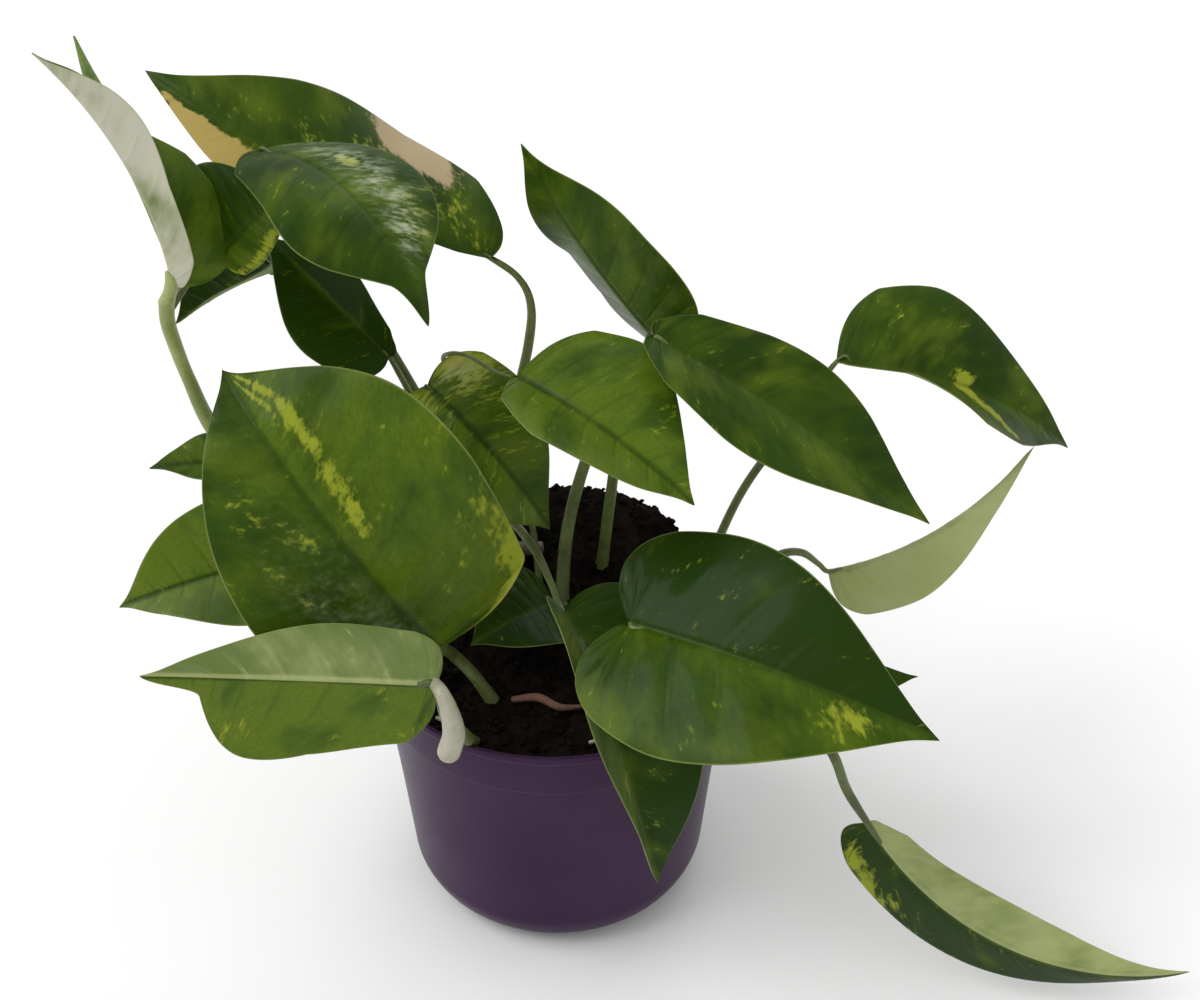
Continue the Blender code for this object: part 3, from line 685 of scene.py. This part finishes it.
def plain_paint(name, colour, rough):
    """One even colour."""
    return Paint(name).surface(Base_Color=colour, Roughness=rough)


# ---- pot and compost ----
def turned(profile, steps=POT_STEPS):
    """Grid of a profile (radius, height) turned about the pot's axis."""
    a = np.linspace(0, math.tau, steps, endpoint=False)
    r, z = np.array(profile, float).T
    return np.stack([r[:, None] * np.cos(a), r[:, None] * np.sin(a),
                     np.broadcast_to(z[:, None], (len(r), steps))], -1)


def rounded(points, reach=0.5, steps=4):
    """Profile with each inner corner cut back by up to reach and replaced by a quarter bend."""
    out = [points[0]]
    for a, b, c in zip(points, points[1:], points[2:]):
        a, b, c = np.array(a, float), np.array(b, float), np.array(c, float)
        cut = min(reach, np.linalg.norm(a - b) / 2.2, np.linalg.norm(c - b) / 2.2)
        p, q = b + unit(a - b) * cut, b + unit(c - b) * cut
        for t in np.linspace(0, 1, steps + 1):
            out.append(tuple(p * (1 - t) ** 2 + 2 * b * t * (1 - t) + q * t * t))
    out.append(points[-1])
    return out


def floor_ring():
    """Ring of the pot's floor: eight wedges, each ruled from its outline to a drain hole."""
    n = POT_STEPS // HOLE_COUNT
    grids = []
    for k in range(HOLE_COUNT):
        a0 = math.tau * k / HOLE_COUNT
        a = a0 + np.linspace(0, math.tau / HOLE_COUNT, n + 1)
        r = np.linspace(RING_IN, RING_OUT, 9)
        line = [(RING_OUT, t) for t in a] + [(s, a[-1]) for s in r[::-1][1:]]
        line += [(RING_IN, t) for t in a[::-1][1:]] + [(s, a[0]) for s in r[1:-1]]
        line = np.array([(s * math.cos(t), s * math.sin(t)) for s, t in line])
        mid = a0 + math.pi / HOLE_COUNT
        centre = np.array([HOLE_RING_R * math.cos(mid), HOLE_RING_R * math.sin(mid)])
        ray = line - centre
        circle = centre + ray / np.linalg.norm(ray, axis=1, keepdims=True) * HOLE_R
        share = np.array([0.0, 0.3, 0.65, 1.0])[:, None, None]
        flat = line * (1 - share) + circle * share
        low = np.dstack([flat, np.zeros(flat.shape[:2])])
        high = np.dstack([flat[::-1], np.full(flat.shape[:2], WALL)])
        grids.append((np.concatenate([low, high]), True))
    return grids


def make_pot():
    """Thin wall with a rim band, a soft step below it, rounded foot and eight drain holes."""
    outer = [(RING_OUT, 0.0), (FOOT_R, 0.0), (BASE_R - 10.5, 0.6), (BASE_R - 6.6, 2.6),
             (BASE_R - 3.0, 6.5), (BASE_R - 0.7, 12.0), (BASE_R, 18.0), (BASE_R + 2.4, 45.0),
             (RIM_R - 2.2, POT_H - BAND_H - 0.8), (RIM_R - 1.2, POT_H - BAND_H)]
    foot = smooth_path([(x, 0, z) for x, z in outer[1:7]], 36)[:, [0, 2]]
    outer = [outer[0]] + [tuple(q) for q in foot] + outer[7:]
    lip = [(RIM_R - 0.35, POT_H - 3.2), (RIM_R + 0.1, POT_H - 2.6), (RIM_R + 0.1, POT_H - 0.1),
           (RIM_R - WALL, POT_H - 0.1)]
    inner = [(RIM_R - 1.3 - WALL, POT_H - BAND_H + 0.5), (RIM_R - 2.2 - WALL, POT_H - BAND_H - 0.4),
             (BASE_R + 2.4 - WALL, 45.0), (BASE_R - WALL, 18.1), (BASE_R - 2.0, 12.4),
             (BASE_R - 4.2, 7.3), (BASE_R - 7.5, 3.9), (BASE_R - 11.0, WALL + 0.7),
             (FOOT_R - 0.3, WALL), (RING_OUT, WALL)]
    shell = rounded(outer + lip + inner, 0.45, 4)
    under = [(0.0, 0.0), (RING_IN, 0.0)]
    inside = [(RING_IN, WALL), (0.0, WALL)]
    grids = [(turned(profile), True) for profile in (shell, under, inside)]
    add_mesh("pot_look", grids + floor_ring(), pot_paint(), ["pot"])


def soil_height(x, y):
    """Level of the compost at x, y: low in front, proud of the rim at the back, sinking to the
    front level again over the last millimetres before the wall."""
    r = np.hypot(x, y)
    rise = SOIL_RISE * ease((y + 28.0) / 80.0) + SOIL_TILT * x / RIM_R * ease((y + 20.0) / 60.0)
    edge = 1.0 - ease((r - 50.0) / 7.5) ** 2
    return SOIL_FRONT + rise * edge


def make_soil():
    """Compost plug: the smooth mound plus four sizes of random lumps, then loose crumbs on top.

    A crumb is a small ball whose points are each moved in or out at random.
    """
    r = np.concatenate([np.linspace(0.0, 50.0, 90), np.linspace(50.4, 56.9, 22)])
    a = np.linspace(0, math.tau, SOIL_STEPS, endpoint=False)
    x = r[:, None] * np.cos(a)
    y = r[:, None] * np.sin(a)
    rough = sum(high * lattice(x / wide, y / wide, k)
                for k, (wide, high) in enumerate(LUMPS, start=1))
    fade = ease((57.2 - r) / 2.0)[:, None]
    z = soil_height(x, y) + rough * (0.35 + 0.65 * fade)
    side = [(56.9, 88.0), (56.3, 81.5), (55.6, 78.0), (52.6, 45.0), (50.2, 18.5),
            (49.4, 12.8), (47.2, 7.9), (44.0, 4.6), (40.6, 2.6), (37.0, 1.9), (0.0, 1.9)]
    plug = np.concatenate([np.stack([x, y, z], -1), turned(side, SOIL_STEPS)])
    looks = soil_paint()
    add_mesh("soil_look", [(plug, True)], looks, ["soil"])
    rng = np.random.default_rng(CRUMB_SEED)
    u = np.linspace(0, math.pi, 5)[:, None]
    w = np.linspace(0, math.tau, 6, endpoint=False)
    ball = np.stack([np.sin(u) * np.cos(w), np.sin(u) * np.sin(w), np.cos(u) * np.ones(6)], -1)
    grids = []
    for _ in range(CRUMBS):
        far = 55.5 * math.sqrt(rng.random())
        turn = rng.random() * math.tau
        cx, cy = far * math.cos(turn), far * math.sin(turn)
        size = 0.45 + 1.25 * rng.random() ** 3
        bumpy = ball * (size * (0.75 + 0.5 * rng.random((5, 6, 1))))
        bumpy[0] = bumpy[0, 0]
        bumpy[-1] = bumpy[-1, 0]
        level = float(soil_height(np.array(cx), np.array(cy))) + 0.3
        grids.append((bumpy * np.array([1.0, 1.0, 0.75]) + np.array([cx, cy, level]), True))
    add_mesh("soil_crumbs", grids, looks)


# ---- the plant's tables ----
def pair(value):
    """(left, right) from one number or a pair."""
    return value if isinstance(value, tuple) else (value, value)


PLAIN = {"droop": 20, "fold": (10, 10), "cup": (0, 0), "side": 0, "lobe": 1.0, "full": 1.0,
         "tail": 0.0, "wl": 1.0, "wr": 1.0, "slot": "leaf_green", "tone": (0, 0), "silver": (0, 0),
         "gloss": (0, 0), "lime": (), "cream": (), "pink": (), "frost": (), "stripes": (),
         "fleck": 0.0}


def blade(base, tip, face, width, **own):
    """One row of the leaf table: PLAIN with the blade's own values over it.

    A pair is for the left and the right half, a longer list runs from stalk to tip. In degrees:
    droop and side bend the midrib, fold tips a half up at the midrib, cup curls it towards the
    margin. wl and wr scale the halves' widths; lobe, full and tail shape the outline.
    tone makes a half lighter or darker, partly its own green and partly painted light
    and shade; silver greys it with painted glare; fleck adds lime specks; and gloss 1
    gives the back of a half the upper face's darker colour, painted shade where that back faces
    down. lime, cream, pink and frost hold patches (half, row, row spread, reach, reach
    spread, strength): half +1 left or -1 right, row 0 stalk .. 1 tip, reach 0 midrib .. 1 margin;
    frost are painted highlights. stripes holds lime lines (half, ((row, reach), ...),
    half width, strength).
    """
    leaf = {**PLAIN, **own, "base": base, "tip": tip, "face": face, "width": width}
    for key in ("lobe", "full", "tail"):
        leaf[key] = pair(leaf[key])
    return leaf


# Leaf table: base, tip (mm), direction the upper face looks, greatest width (mm).
LEAVES = {
    # left-hand vine: top leaf folded and seen from its back
    "leaf_01": blade((-108, 0, 228), (-134, -6, 299), (0.9, 0.35, 0.2), 46,
        droop=36, fold=(55, (85, 70, 48, 48, 48)), cup=(-20, -20), wl=(0.3, 0.35, 0.5, 0.9, 1.1),
        wr=(0.8, 1.0, 1.15, 1.15, 1.0, 0.45, 0.6, 0.75, 0.9), full=0.7, lobe=(0.1, 0.3),
        slot="leaf_pale", silver=(0.9, 0.0), tone=(0.0, 0.5)),
    "leaf_02": blade((-96, 12, 232), (-76, 14, 250), (-0.1, -0.75, 0.6), 62,
        droop=35, fold=(5, 0), cup=(-10, -15), lobe=(0.5, 0.2), wl=0.76, wr=0.36, full=0.7,
        tone=(-0.1, 0.4), stripes=((-1, ((0.2, 0.95), (0.5, 0.85), (0.8, 0.8)), 0.16, 0.8),)),
    "leaf_03": blade((-92, 76, 196), (-118, 34, 198), (0.1, 0.05, 1.0), 46,
        droop=20, fold=(45, 45), cup=(-10, -10), lobe=0.6, tone=(-0.5, -0.3)),
    # high leaves over the left half
    "leaf_04": blade((-18, 45, 214), (-125, 74, 266), (0.05, -0.5, 0.85), 74,
        droop=25, fold=(-38, (-8, -8, 5, 10)), cup=(-10, -22), side=26, lobe=0.2, full=(1.0, 0.9),
        wl=(0.02, 0.03, 0.15, 0.7, 1.3), wr=(0.5, 0.7, 1.0, 1.08, 1.2),
        cream=((1, 0.82, 0.12, 0.75, 0.45, 1.3),), pink=((-1, 0.5, 0.09, 0.9, 0.4, 1.2),),
        lime=((-1, 0.7, 0.2, 0.3, 0.3, 0.45), (-1, 0.45, 0.1, 0.3, 0.3, 0.45),
            (1, 0.6, 0.2, 0.4, 0.4, 0.4))),
    "leaf_05": blade((-84, 32, 256), (-34, -20, 224), (0.35, -0.4, 0.85), 62,
        droop=75, fold=(0, 5), cup=(-15, -30), side=10, full=(0.8, 0.72), tail=0.1, lobe=0.2,
        wl=(0.3, 0.4, 0.75, 1.15, 1.4), wr=(0.3, 0.45, 0.75, 1.15, 1.3), tone=(0.1, -0.1),
        lime=((1, 0.55, 0.03, 0.4, 0.12, 1.2), (1, 0.75, 0.12, 0.7, 0.25, 0.45)),
        frost=((1, 0.60, 0.2, 0.45, 0.25, 0.65), (1, 0.8, 0.06, 0.5, 0.3, 0.5)), fleck=0.05),
    "leaf_06": blade((-49, 8, 199), (-87, 34, 228), (-0.1, -0.6, 0.8), 46,
        droop=10, fold=(15, 45), lobe=(0.3, 0.2), wl=(0.5, 0.75, 0.85, 0.9), wr=(0.15, 0.3, 0.7, 1.0),
        tone=(-0.6, -0.9)),
    # centre left
    "leaf_07": blade((-38, 9, 188), (-1, 2, 138), (0.2, -0.7, 0.7), 56,
        droop=50, fold=(10, 15), cup=(-10, -20), wl=0.8, lobe=0.3, tone=(0.4, 0.9), fleck=0.04,
        lime=((-1, 0.30, 0.24, 0.7, 0.6, 1.5), (1, 0.28, 0.14, 0.7, 0.5, 1.3),
            (1, 0.5, 0.2, 0.6, 0.5, 0.4)),
        frost=((-1, 0.5, 0.1, 0.6, 0.35, 0.5), (1, 0.35, 0.1, 0.5, 0.3, 0.5))),
    "leaf_08": blade((-36, -34, 119), (-98, 0, 200), (-0.05, -0.85, 0.5), 88,
        droop=85, fold=(14, 4), cup=(-15, 0), full=(0.74, 0.62), lobe=(0.35, 0.1), wl=0.82,
        wr=(0.75, 0.95, 1.06, 1.06, 0.75), tone=(0.15, 0.4), fleck=0.01,
        lime=((1, 0.62, 0.16, 0.4, 0.3, 0.22),), frost=((1, 0.36, 0.16, 0.35, 0.3, 0.3),),
        stripes=((-1, ((0.94, 0.80), (0.86, 0.66), (0.77, 0.46), (0.69, 0.30), (0.60, 0.20)), 0.07, 0.85),
            (-1, ((0.95, 0.50), (0.88, 0.40), (0.80, 0.36)), 0.06, 0.75),
            (-1, ((0.04, 0.98), (0.30, 1.0)), 0.28, 1.6))),
    # low leaf over the left of the rim, its back outwards
    "leaf_09": blade((-34, -76, 140), (-115, -79, 148), (0.1, 0.7, -0.3), 60,
        droop=8, fold=(48, 30), cup=(5, -10), lobe=(0.2, 0.05), full=(0.72, 0.4), tail=(0.0, 0.17),
        wl=(0.7, 0.75, 0.6, 0.5, 0.4), wr=(0.9, 0.88, 0.95, 1.4, 1.9), slot="leaf_pale", gloss=(0, 1),
        tone=(-0.4, 1.0), silver=(0.06, 0),
        lime=((-1, 0.75, 0.1, 0.8, 0.2, 0.3), (-1, 0.4, 0.1, 0.8, 0.2, 0.3))),
    # broad leaf over the right of the rim
    "leaf_10": blade((22, -50, 140), (107, -92, 129), (0.1, -0.6, 0.8), 72,
        droop=30, fold=(10, 8), cup=(-15, -15), lobe=0.75, tone=(-1.0, 0.15),
        lime=((-1, 0.83, 0.05, 0.5, 0.35, 0.8),)),
    # small leaves far left
    "leaf_11": blade((-104, 32, 147), (-133, 29, 147), (-0.1, -0.3, 0.9), 32,
        droop=15, lobe=0.4, wl=(1.0, 0.9, 0.6, 0.45, 0.5), wr=(1.0, 0.8, 0.7, 0.8, 1.0), tone=(0.3, 0.3)),
    "leaf_12": blade((-89, -5, 133), (-136, -20, 127), (-0.1, -0.5, 0.85), 52,
        droop=25, wl=(1.0, 1.0, 0.85, 0.65, 0.6), wr=0.95, full=0.85, tone=(0.8, 0.9),
        silver=(0.06, 0.0), fleck=0.02),
    # centre and right crown
    "leaf_13": blade((-10, -5, 199), (41, -40, 175), (0.15, -0.55, 0.85), 62,
        droop=35, fold=(5, 40), cup=(-20, -10), lobe=0.05, full=0.9, wl=1.05,
        wr=(0.1, 0.35, 0.85, 0.95, 1.0), tone=(0.55, 0.5), fleck=0.01),
    "leaf_14": blade((31.5, 32, 194), (-8, 62, 245), (-0.85, -0.3, 0.45), 52,
        droop=20, fold=((-38, -38, -30, 0, 25), 5), wr=1.1, tone=(0.1, 0.1)),
    "leaf_15": blade((31, 0, 209), (117, -16, 150), (0.25, -0.55, 0.8), 52,
        droop=25, fold=(10, 20), cup=(-15, -15), lobe=0.2, wl=(0.2, 0.4, 0.78, 1.05, 1.1),
        wr=(0.3, 0.55, 0.85, 1.05, 1.3), tone=(-0.1, 0.1)),
    "leaf_16": blade((93, 34, 181), (173, 30, 148), (0.15, -0.5, 0.8), 56,
        droop=60, fold=(8, (60, 60, 35, 25, 15)), cup=(-15, 0), lobe=0.05, wl=(1.1, 1.2, 1.2, 1.1, 1.0),
        wr=(0.05, 0.1, 0.75, 1.2, 1.0), tone=(-0.1, 0.0), fleck=0.01,
        stripes=((-1, ((0.70, 0.0), (0.74, 0.9)), 0.05, 1.1), (1, ((0.70, 0.0), (0.69, 0.2)), 0.04, 0.9))),
    # trailing stem on the right
    "leaf_17": blade((92, 10, 113), (158, 20, 155), (0.2, 0.8, -0.5), 42,
        droop=-15, fold=(10, 110), side=42, slot="leaf_pale", lobe=(0.05, 0.1),
        wl=(1.15, 1.05, 0.85, 0.6, 0.5), wr=0.5, tone=(1.0, 1.0), silver=(0.2, 0.2)),
    "leaf_18": blade((88, -12, 80), (121, -12, 85), (0.1, -0.3, 0.8), 18),
    "leaf_19": blade((96, -66, 72), (204, -80, 15), (-0.2, 0.9, -0.3), 42,
        droop=-10, fold=(45, 45), side=62, lobe=(0.1, 0.0), slot="leaf_pale", gloss=(1, 0),
        wr=(0.2, 0.35, 0.7, 0.95, 1.0), tone=(-0.6, 0.35), silver=(0, 0.1),
        lime=((1, 0.38, 0.12, 0.85, 0.35, 0.95),)),
    # leaf hanging over the front of the rim and a low one above the compost
    "leaf_20": blade((3, -29, 129), (30, -78, 60), (0.1, -0.7, 0.5), 60,
        droop=90, fold=(0, 60), cup=(-5, 0), lobe=0.5, full=0.85, wr=0.35, tone=(-0.4, 0.3),
        silver=(0.0, 0.06)),
    "leaf_21": blade((-1, -4, 113), (-27, -24, 112), (0.1, -0.2, 0.9), 38,
        droop=30, lobe=0.5, tone=(-0.7, -0.5)),
}

STEM_L = [(-42, 6, 112), (-66, 14, 126), (-92, 15, 148), (-106, 14, 170), (-111, 11, 191),
          (-113, 8, 206), (-113, 5, 214), (-112, 3, 221)]
STEM_R = [(40, 6, 113), (54, -10, 116), (64, -30, 116), (70, -46, 112), (76, -56, 107)]
STEM_L_R = 2.6
STEM_R_R = 2.1

# Stalks: leaf, radius at foot and at blade, then where it starts and the points it passes.
# A start is ("soil", x, y), ("left", share), ("right", share), ("stem_top",) or ("stem_end",).
STALKS = {
    "stalk_01": ("leaf_01", 2.35, 1.8, ("stem_top",), []),
    "stalk_02": ("leaf_02", 1.4, 1.2, ("left", 0.94), [(-107, 9, 224), (-102, 14, 230)]),
    "stalk_03": ("leaf_03", 1.3, 1.1, ("left", 0.94), [(-105, 34, 222), (-99, 62, 212)]),
    "stalk_04": ("leaf_04", 2.0, 1.6, ("soil", -13, 36),
                 [(-14, 38, 150), (-7, 42, 184), (-6, 44, 198), (-10, 45, 207)]),
    "stalk_05": ("leaf_05", 1.8, 1.4, ("soil", -25, 30),
                 [(-37, 38, 150), (-54, 39, 190), (-71, 32, 230)]),
    "stalk_06": ("leaf_06", 1.7, 1.4, ("soil", -22, 10), [(-33, 14, 150), (-44, 12, 184)]),
    "stalk_07": ("leaf_07", 1.6, 1.3, ("soil", -12, 16), [(-21, 19, 148), (-30, 15, 172)]),
    "stalk_08": ("leaf_08", 2.2, 1.9, ("soil", -19, -27), [(-26, -25, 100), (-33, -22, 107)]),
    "stalk_09": ("leaf_09", 2.2, 2.0, ("soil", -26, -44),
                 [(-29, -60, 108), (-32, -71, 124)]),
    "stalk_10": ("leaf_10", 2.1, 1.8, ("soil", 36, -2), [(40, -14, 128), (32, -36, 139)]),
    "stalk_11": ("leaf_11", 1.2, 1.0, ("left", 0.44), [(-94, 25, 148)]),
    "stalk_12": ("leaf_12", 1.5, 1.3, ("left", 0.30), [(-82, 8, 128), (-86, 0, 129)]),
    "stalk_13": ("leaf_13", 1.1, 0.9, ("soil", -4, 10),
                 [(-10, 24, 140), (-28, 28, 172), (-33, 18, 191), (-31, 11, 198), (-25, 6, 200),
                  (-17, 0, 198)]),
    "stalk_14": ("leaf_14", 2.3, 1.8, ("soil", 2, 8),
                 [(5, 16, 130), (14, 25, 158), (28, 34, 179)]),
    "stalk_15": ("leaf_15", 2.0, 1.7, ("soil", 16, 20), [(19, 18, 140), (22, 14, 168), (28, 6, 195)]),
    "stalk_16": ("leaf_16", 1.6, 1.4, ("soil", 50, 22), [(62, 26, 132), (75, 31, 152)]),
    "stalk_17": ("leaf_17", 1.6, 1.3, ("right", 0.30),
                 [(68, 0, 123), (75, 3, 126), (82, 6, 124), (88, 8, 118)]),
    "stalk_18": ("leaf_18", 1.0, 0.8, ("right", 0.60), [(74, -24, 94), (82, -17, 77)]),
    "stalk_19": ("leaf_19", 1.7, 1.5, ("stem_end",), [(84, -62, 97), (89, -64, 84)]),
    "stalk_20": ("leaf_20", 1.6, 1.4, ("soil", -19, 12),
                 [(-17, 9, 126), (-13, 1, 141), (-6, -12, 140), (-1.5, -18.5, 133), (1, -23, 127.5)]),
    "stalk_21": ("leaf_21", 1.2, 1.0, ("soil", 8, -6), [(6, -4, 110)]),
}


def point_on(path, share):
    """Point at a share of a smooth path."""
    return smooth_path(path, 60)[int(share * 59)]


def stalk_points(row):
    """Path of a stalk: from inside the compost or its stem, through its points, into the blade."""
    leaf_name, _, _, start, middle = row
    leaf = LEAVES[leaf_name]
    base = np.array(leaf["base"], float)
    place = leaf_map(leaf)
    p = place(np.array([0.0, 0.06, 0.03, 0.03]), np.array([0.0, 0.0, 0.05, -0.05]),
              np.array([1.0, 1.0, 1.0, -1.0]))
    under = unit(np.cross(p[1] - p[0], p[2] - p[3])) * STALK_UNDER
    if start[0] == "soil":
        x, y = start[1:]
        first = np.array([x, y, float(soil_height(np.array(x), np.array(y))) - STALK_ROOT])
    elif start[0] == "left":
        first = point_on(STEM_L, start[1])
    elif start[0] == "right":
        first = point_on(STEM_R, start[1])
    elif start[0] == "stem_top":
        first = np.array(STEM_L[-1], float)
    else:
        first = np.array(STEM_R[-1], float)
    return [first] + [np.array(q, float) for q in middle] + [base - under, p[1] - under]


def make_stalks(looks):
    """One grooved tube per blade, swollen where it meets the blade and a little at its foot."""
    for name, row in STALKS.items():
        _, r0, r1, start, _ = row
        skin = looks[1] if start[0] == "stem_top" else looks[0]
        points = stalk_points(row)
        grid = tube(points, (r0 * 1.05, (r0 + r1) / 2, r1, r1 * 0.4), rings=80, groove=0.14,
                    knots=((0.0, 0.0 if start[0] == "stem_top" else 0.25, 5.0), (0.90, 0.16, 4.0)))
        add_mesh(name + "_look", [(grid, True)], skin, [name])


def make_stems(looks):
    """The two vines, swollen where a stalk leaves, but not close to the tip."""
    for name, line, r in (("stem_left", STEM_L, STEM_L_R), ("stem_right", STEM_R, STEM_R_R)):
        start = "left" if name == "stem_left" else "right"
        shares = [row[3][1] for row in STALKS.values()
                  if row[3][0] == start and row[3][1] < 0.9]
        x, y, _ = line[0]
        first = (x, y, float(soil_height(np.array(x), np.array(y))) - STEM_ROOT)
        knots = [(s, 0.10, 3.5) for s in shares]
        sizes = (1.3, 1.25, 1.15, 1.05, 0.8, 0.9) if start == "left" else (1.3, 1.1)
        grid = tube([first] + line[1:], [r * s for s in sizes], rings=160, sides=28, knots=knots)
        add_mesh(name + "_look", [(grid, True)], looks, [name])


def make_leaves(looks):
    """All blades; seed and phase give each its own streaks and waves."""
    half = np.concatenate([[0.0, 0.02, 0.045], np.linspace(0.08, 0.96, LEAF_COLS), [0.985, 1.0]])
    for k, (name, leaf) in enumerate(LEAVES.items()):
        leaf["seed"] = 3.7 * k
        leaf["phase"] = 0.37 * k
        body, values = leaf_body(leaf, LEAF_ROWS, half)
        add_mesh(name + "_look", [(body, True)], looks, [name], values)


def make_small():
    """Young shoot, rolled leaf, cut stub and the roots on the compost."""
    pale = stalk_paint("shoot_look", SHOOT_TONES, 0.40)
    brown = stalk_paint("root_look", ROOT_TONES, 0.7)
    drab = stalk_paint("stub_look", STUB_TONES, 0.6)
    rolled = stalk_paint("rolled_look", ROLLED_TONES, 0.4)
    rows = [
        ("shoot",
         [(-34, -77, 141), (-32, -82, 142), (-30.2, -84, 138), (-29.2, -83, 128), (-31, -82, 120)],
         (1.8, 2.2, 2.9, 3.3, 3.4), pale, "shoot_pale", 0.9),
        ("new_leaf", [(-112, 12, 236), (-117, 14, 258), (-124.5, 13, 282), (-127, 10, 298)],
         (1.3, 2.5, 2.9, 0.3), rolled, "leaf_green", 0.25),
        ("cut_stub", [(-24, 22, 117), (-14, 22, 116.5), (-4, 23, 116)],
         (2.4, 2.6, 2.2), drab, "shoot_pale", 0.2),
        ("root_main", [(-14, -31, 95.2), (-6, -31, 95.8), (1, -35, 95.0), (9, -35, 95.2)],
         (1.0, 1.4, 1.2, 0.5), brown, "root_brown", 0.5),
        ("root_small_a", [(-38, -38, 94.4), (-34, -41, 94.8), (-31, -40, 94.4)],
         (0.6, 0.7, 0.4), pale, "shoot_pale", 0.5),
        ("root_small_b", [(10, -51, 94.2), (16, -49, 94.6), (22, -46, 94.4)],
         (0.6, 0.6, 0.4), pale, "shoot_pale", 0.5),
    ]
    for name, line, radii, looks, slot, blunt in rows:
        grid = tube(line, radii, rings=50, sides=20, blunt=blunt)
        add_mesh(name + "_look", [(grid, True)], looks, [name])


# ---- stage, light and camera ----
def make_stage():
    """White floor, white surroundings, a broad soft key from the upper left, a weak one behind."""
    mesh = bpy.data.meshes.new("floor")
    h, z = FLOOR_HALF, -FLOOR_DROP
    mesh.from_pydata([(-h, -h, z), (h, -h, z), (h, h, z), (-h, h, z)], [], [(0, 1, 2, 3)])
    floor = add_object("floor", mesh)
    mesh.materials.append(plain_paint("floor_white", FLOOR_WHITE, FLOOR_ROUGH))
    world = bpy.data.worlds.new("studio")
    bpy.context.scene.world = world
    world.use_nodes = True
    background = world.node_tree.nodes["Background"].inputs
    background["Color"].default_value = (1.0, 1.0, 1.0, 1.0)
    background["Strength"].default_value = WORLD_STRENGTH
    for name, (place, angle, power) in LAMPS.items():
        data = bpy.data.lights.new(name, "SUN")
        data.angle = math.radians(angle)
        data.energy = power
        lamp = add_object(name, data)
        lamp.location = place
        x, y, z = place
        lamp.rotation_euler = (math.atan2(math.hypot(x, y), z), 0.0, math.atan2(y, x) + math.pi / 2)


def make_camera():
    """Camera above the front, looking down at the pot."""
    data = bpy.data.cameras.new("camera")
    data.lens = LENS
    data.sensor_width = SENSOR
    camera = add_object("camera", data)
    camera.location = CAMERA_AT
    camera.rotation_euler = (math.radians(90 - CAMERA_DOWN), 0.0, -math.radians(CAMERA_RIGHT))
    bpy.context.scene.camera = camera


make_pot()
make_soil()
leaf_look = leaf_paint()
make_leaves(leaf_look)
green_stalk = stalk_paint("stalk_look", STALK_TONES)
green_stem = stalk_paint("stem_look", STEM_TONES)
make_stalks((green_stalk, green_stem))
make_stems(green_stem)
make_small()
make_stage()
make_camera()
bpy.context.scene.view_settings.view_transform = "Standard"
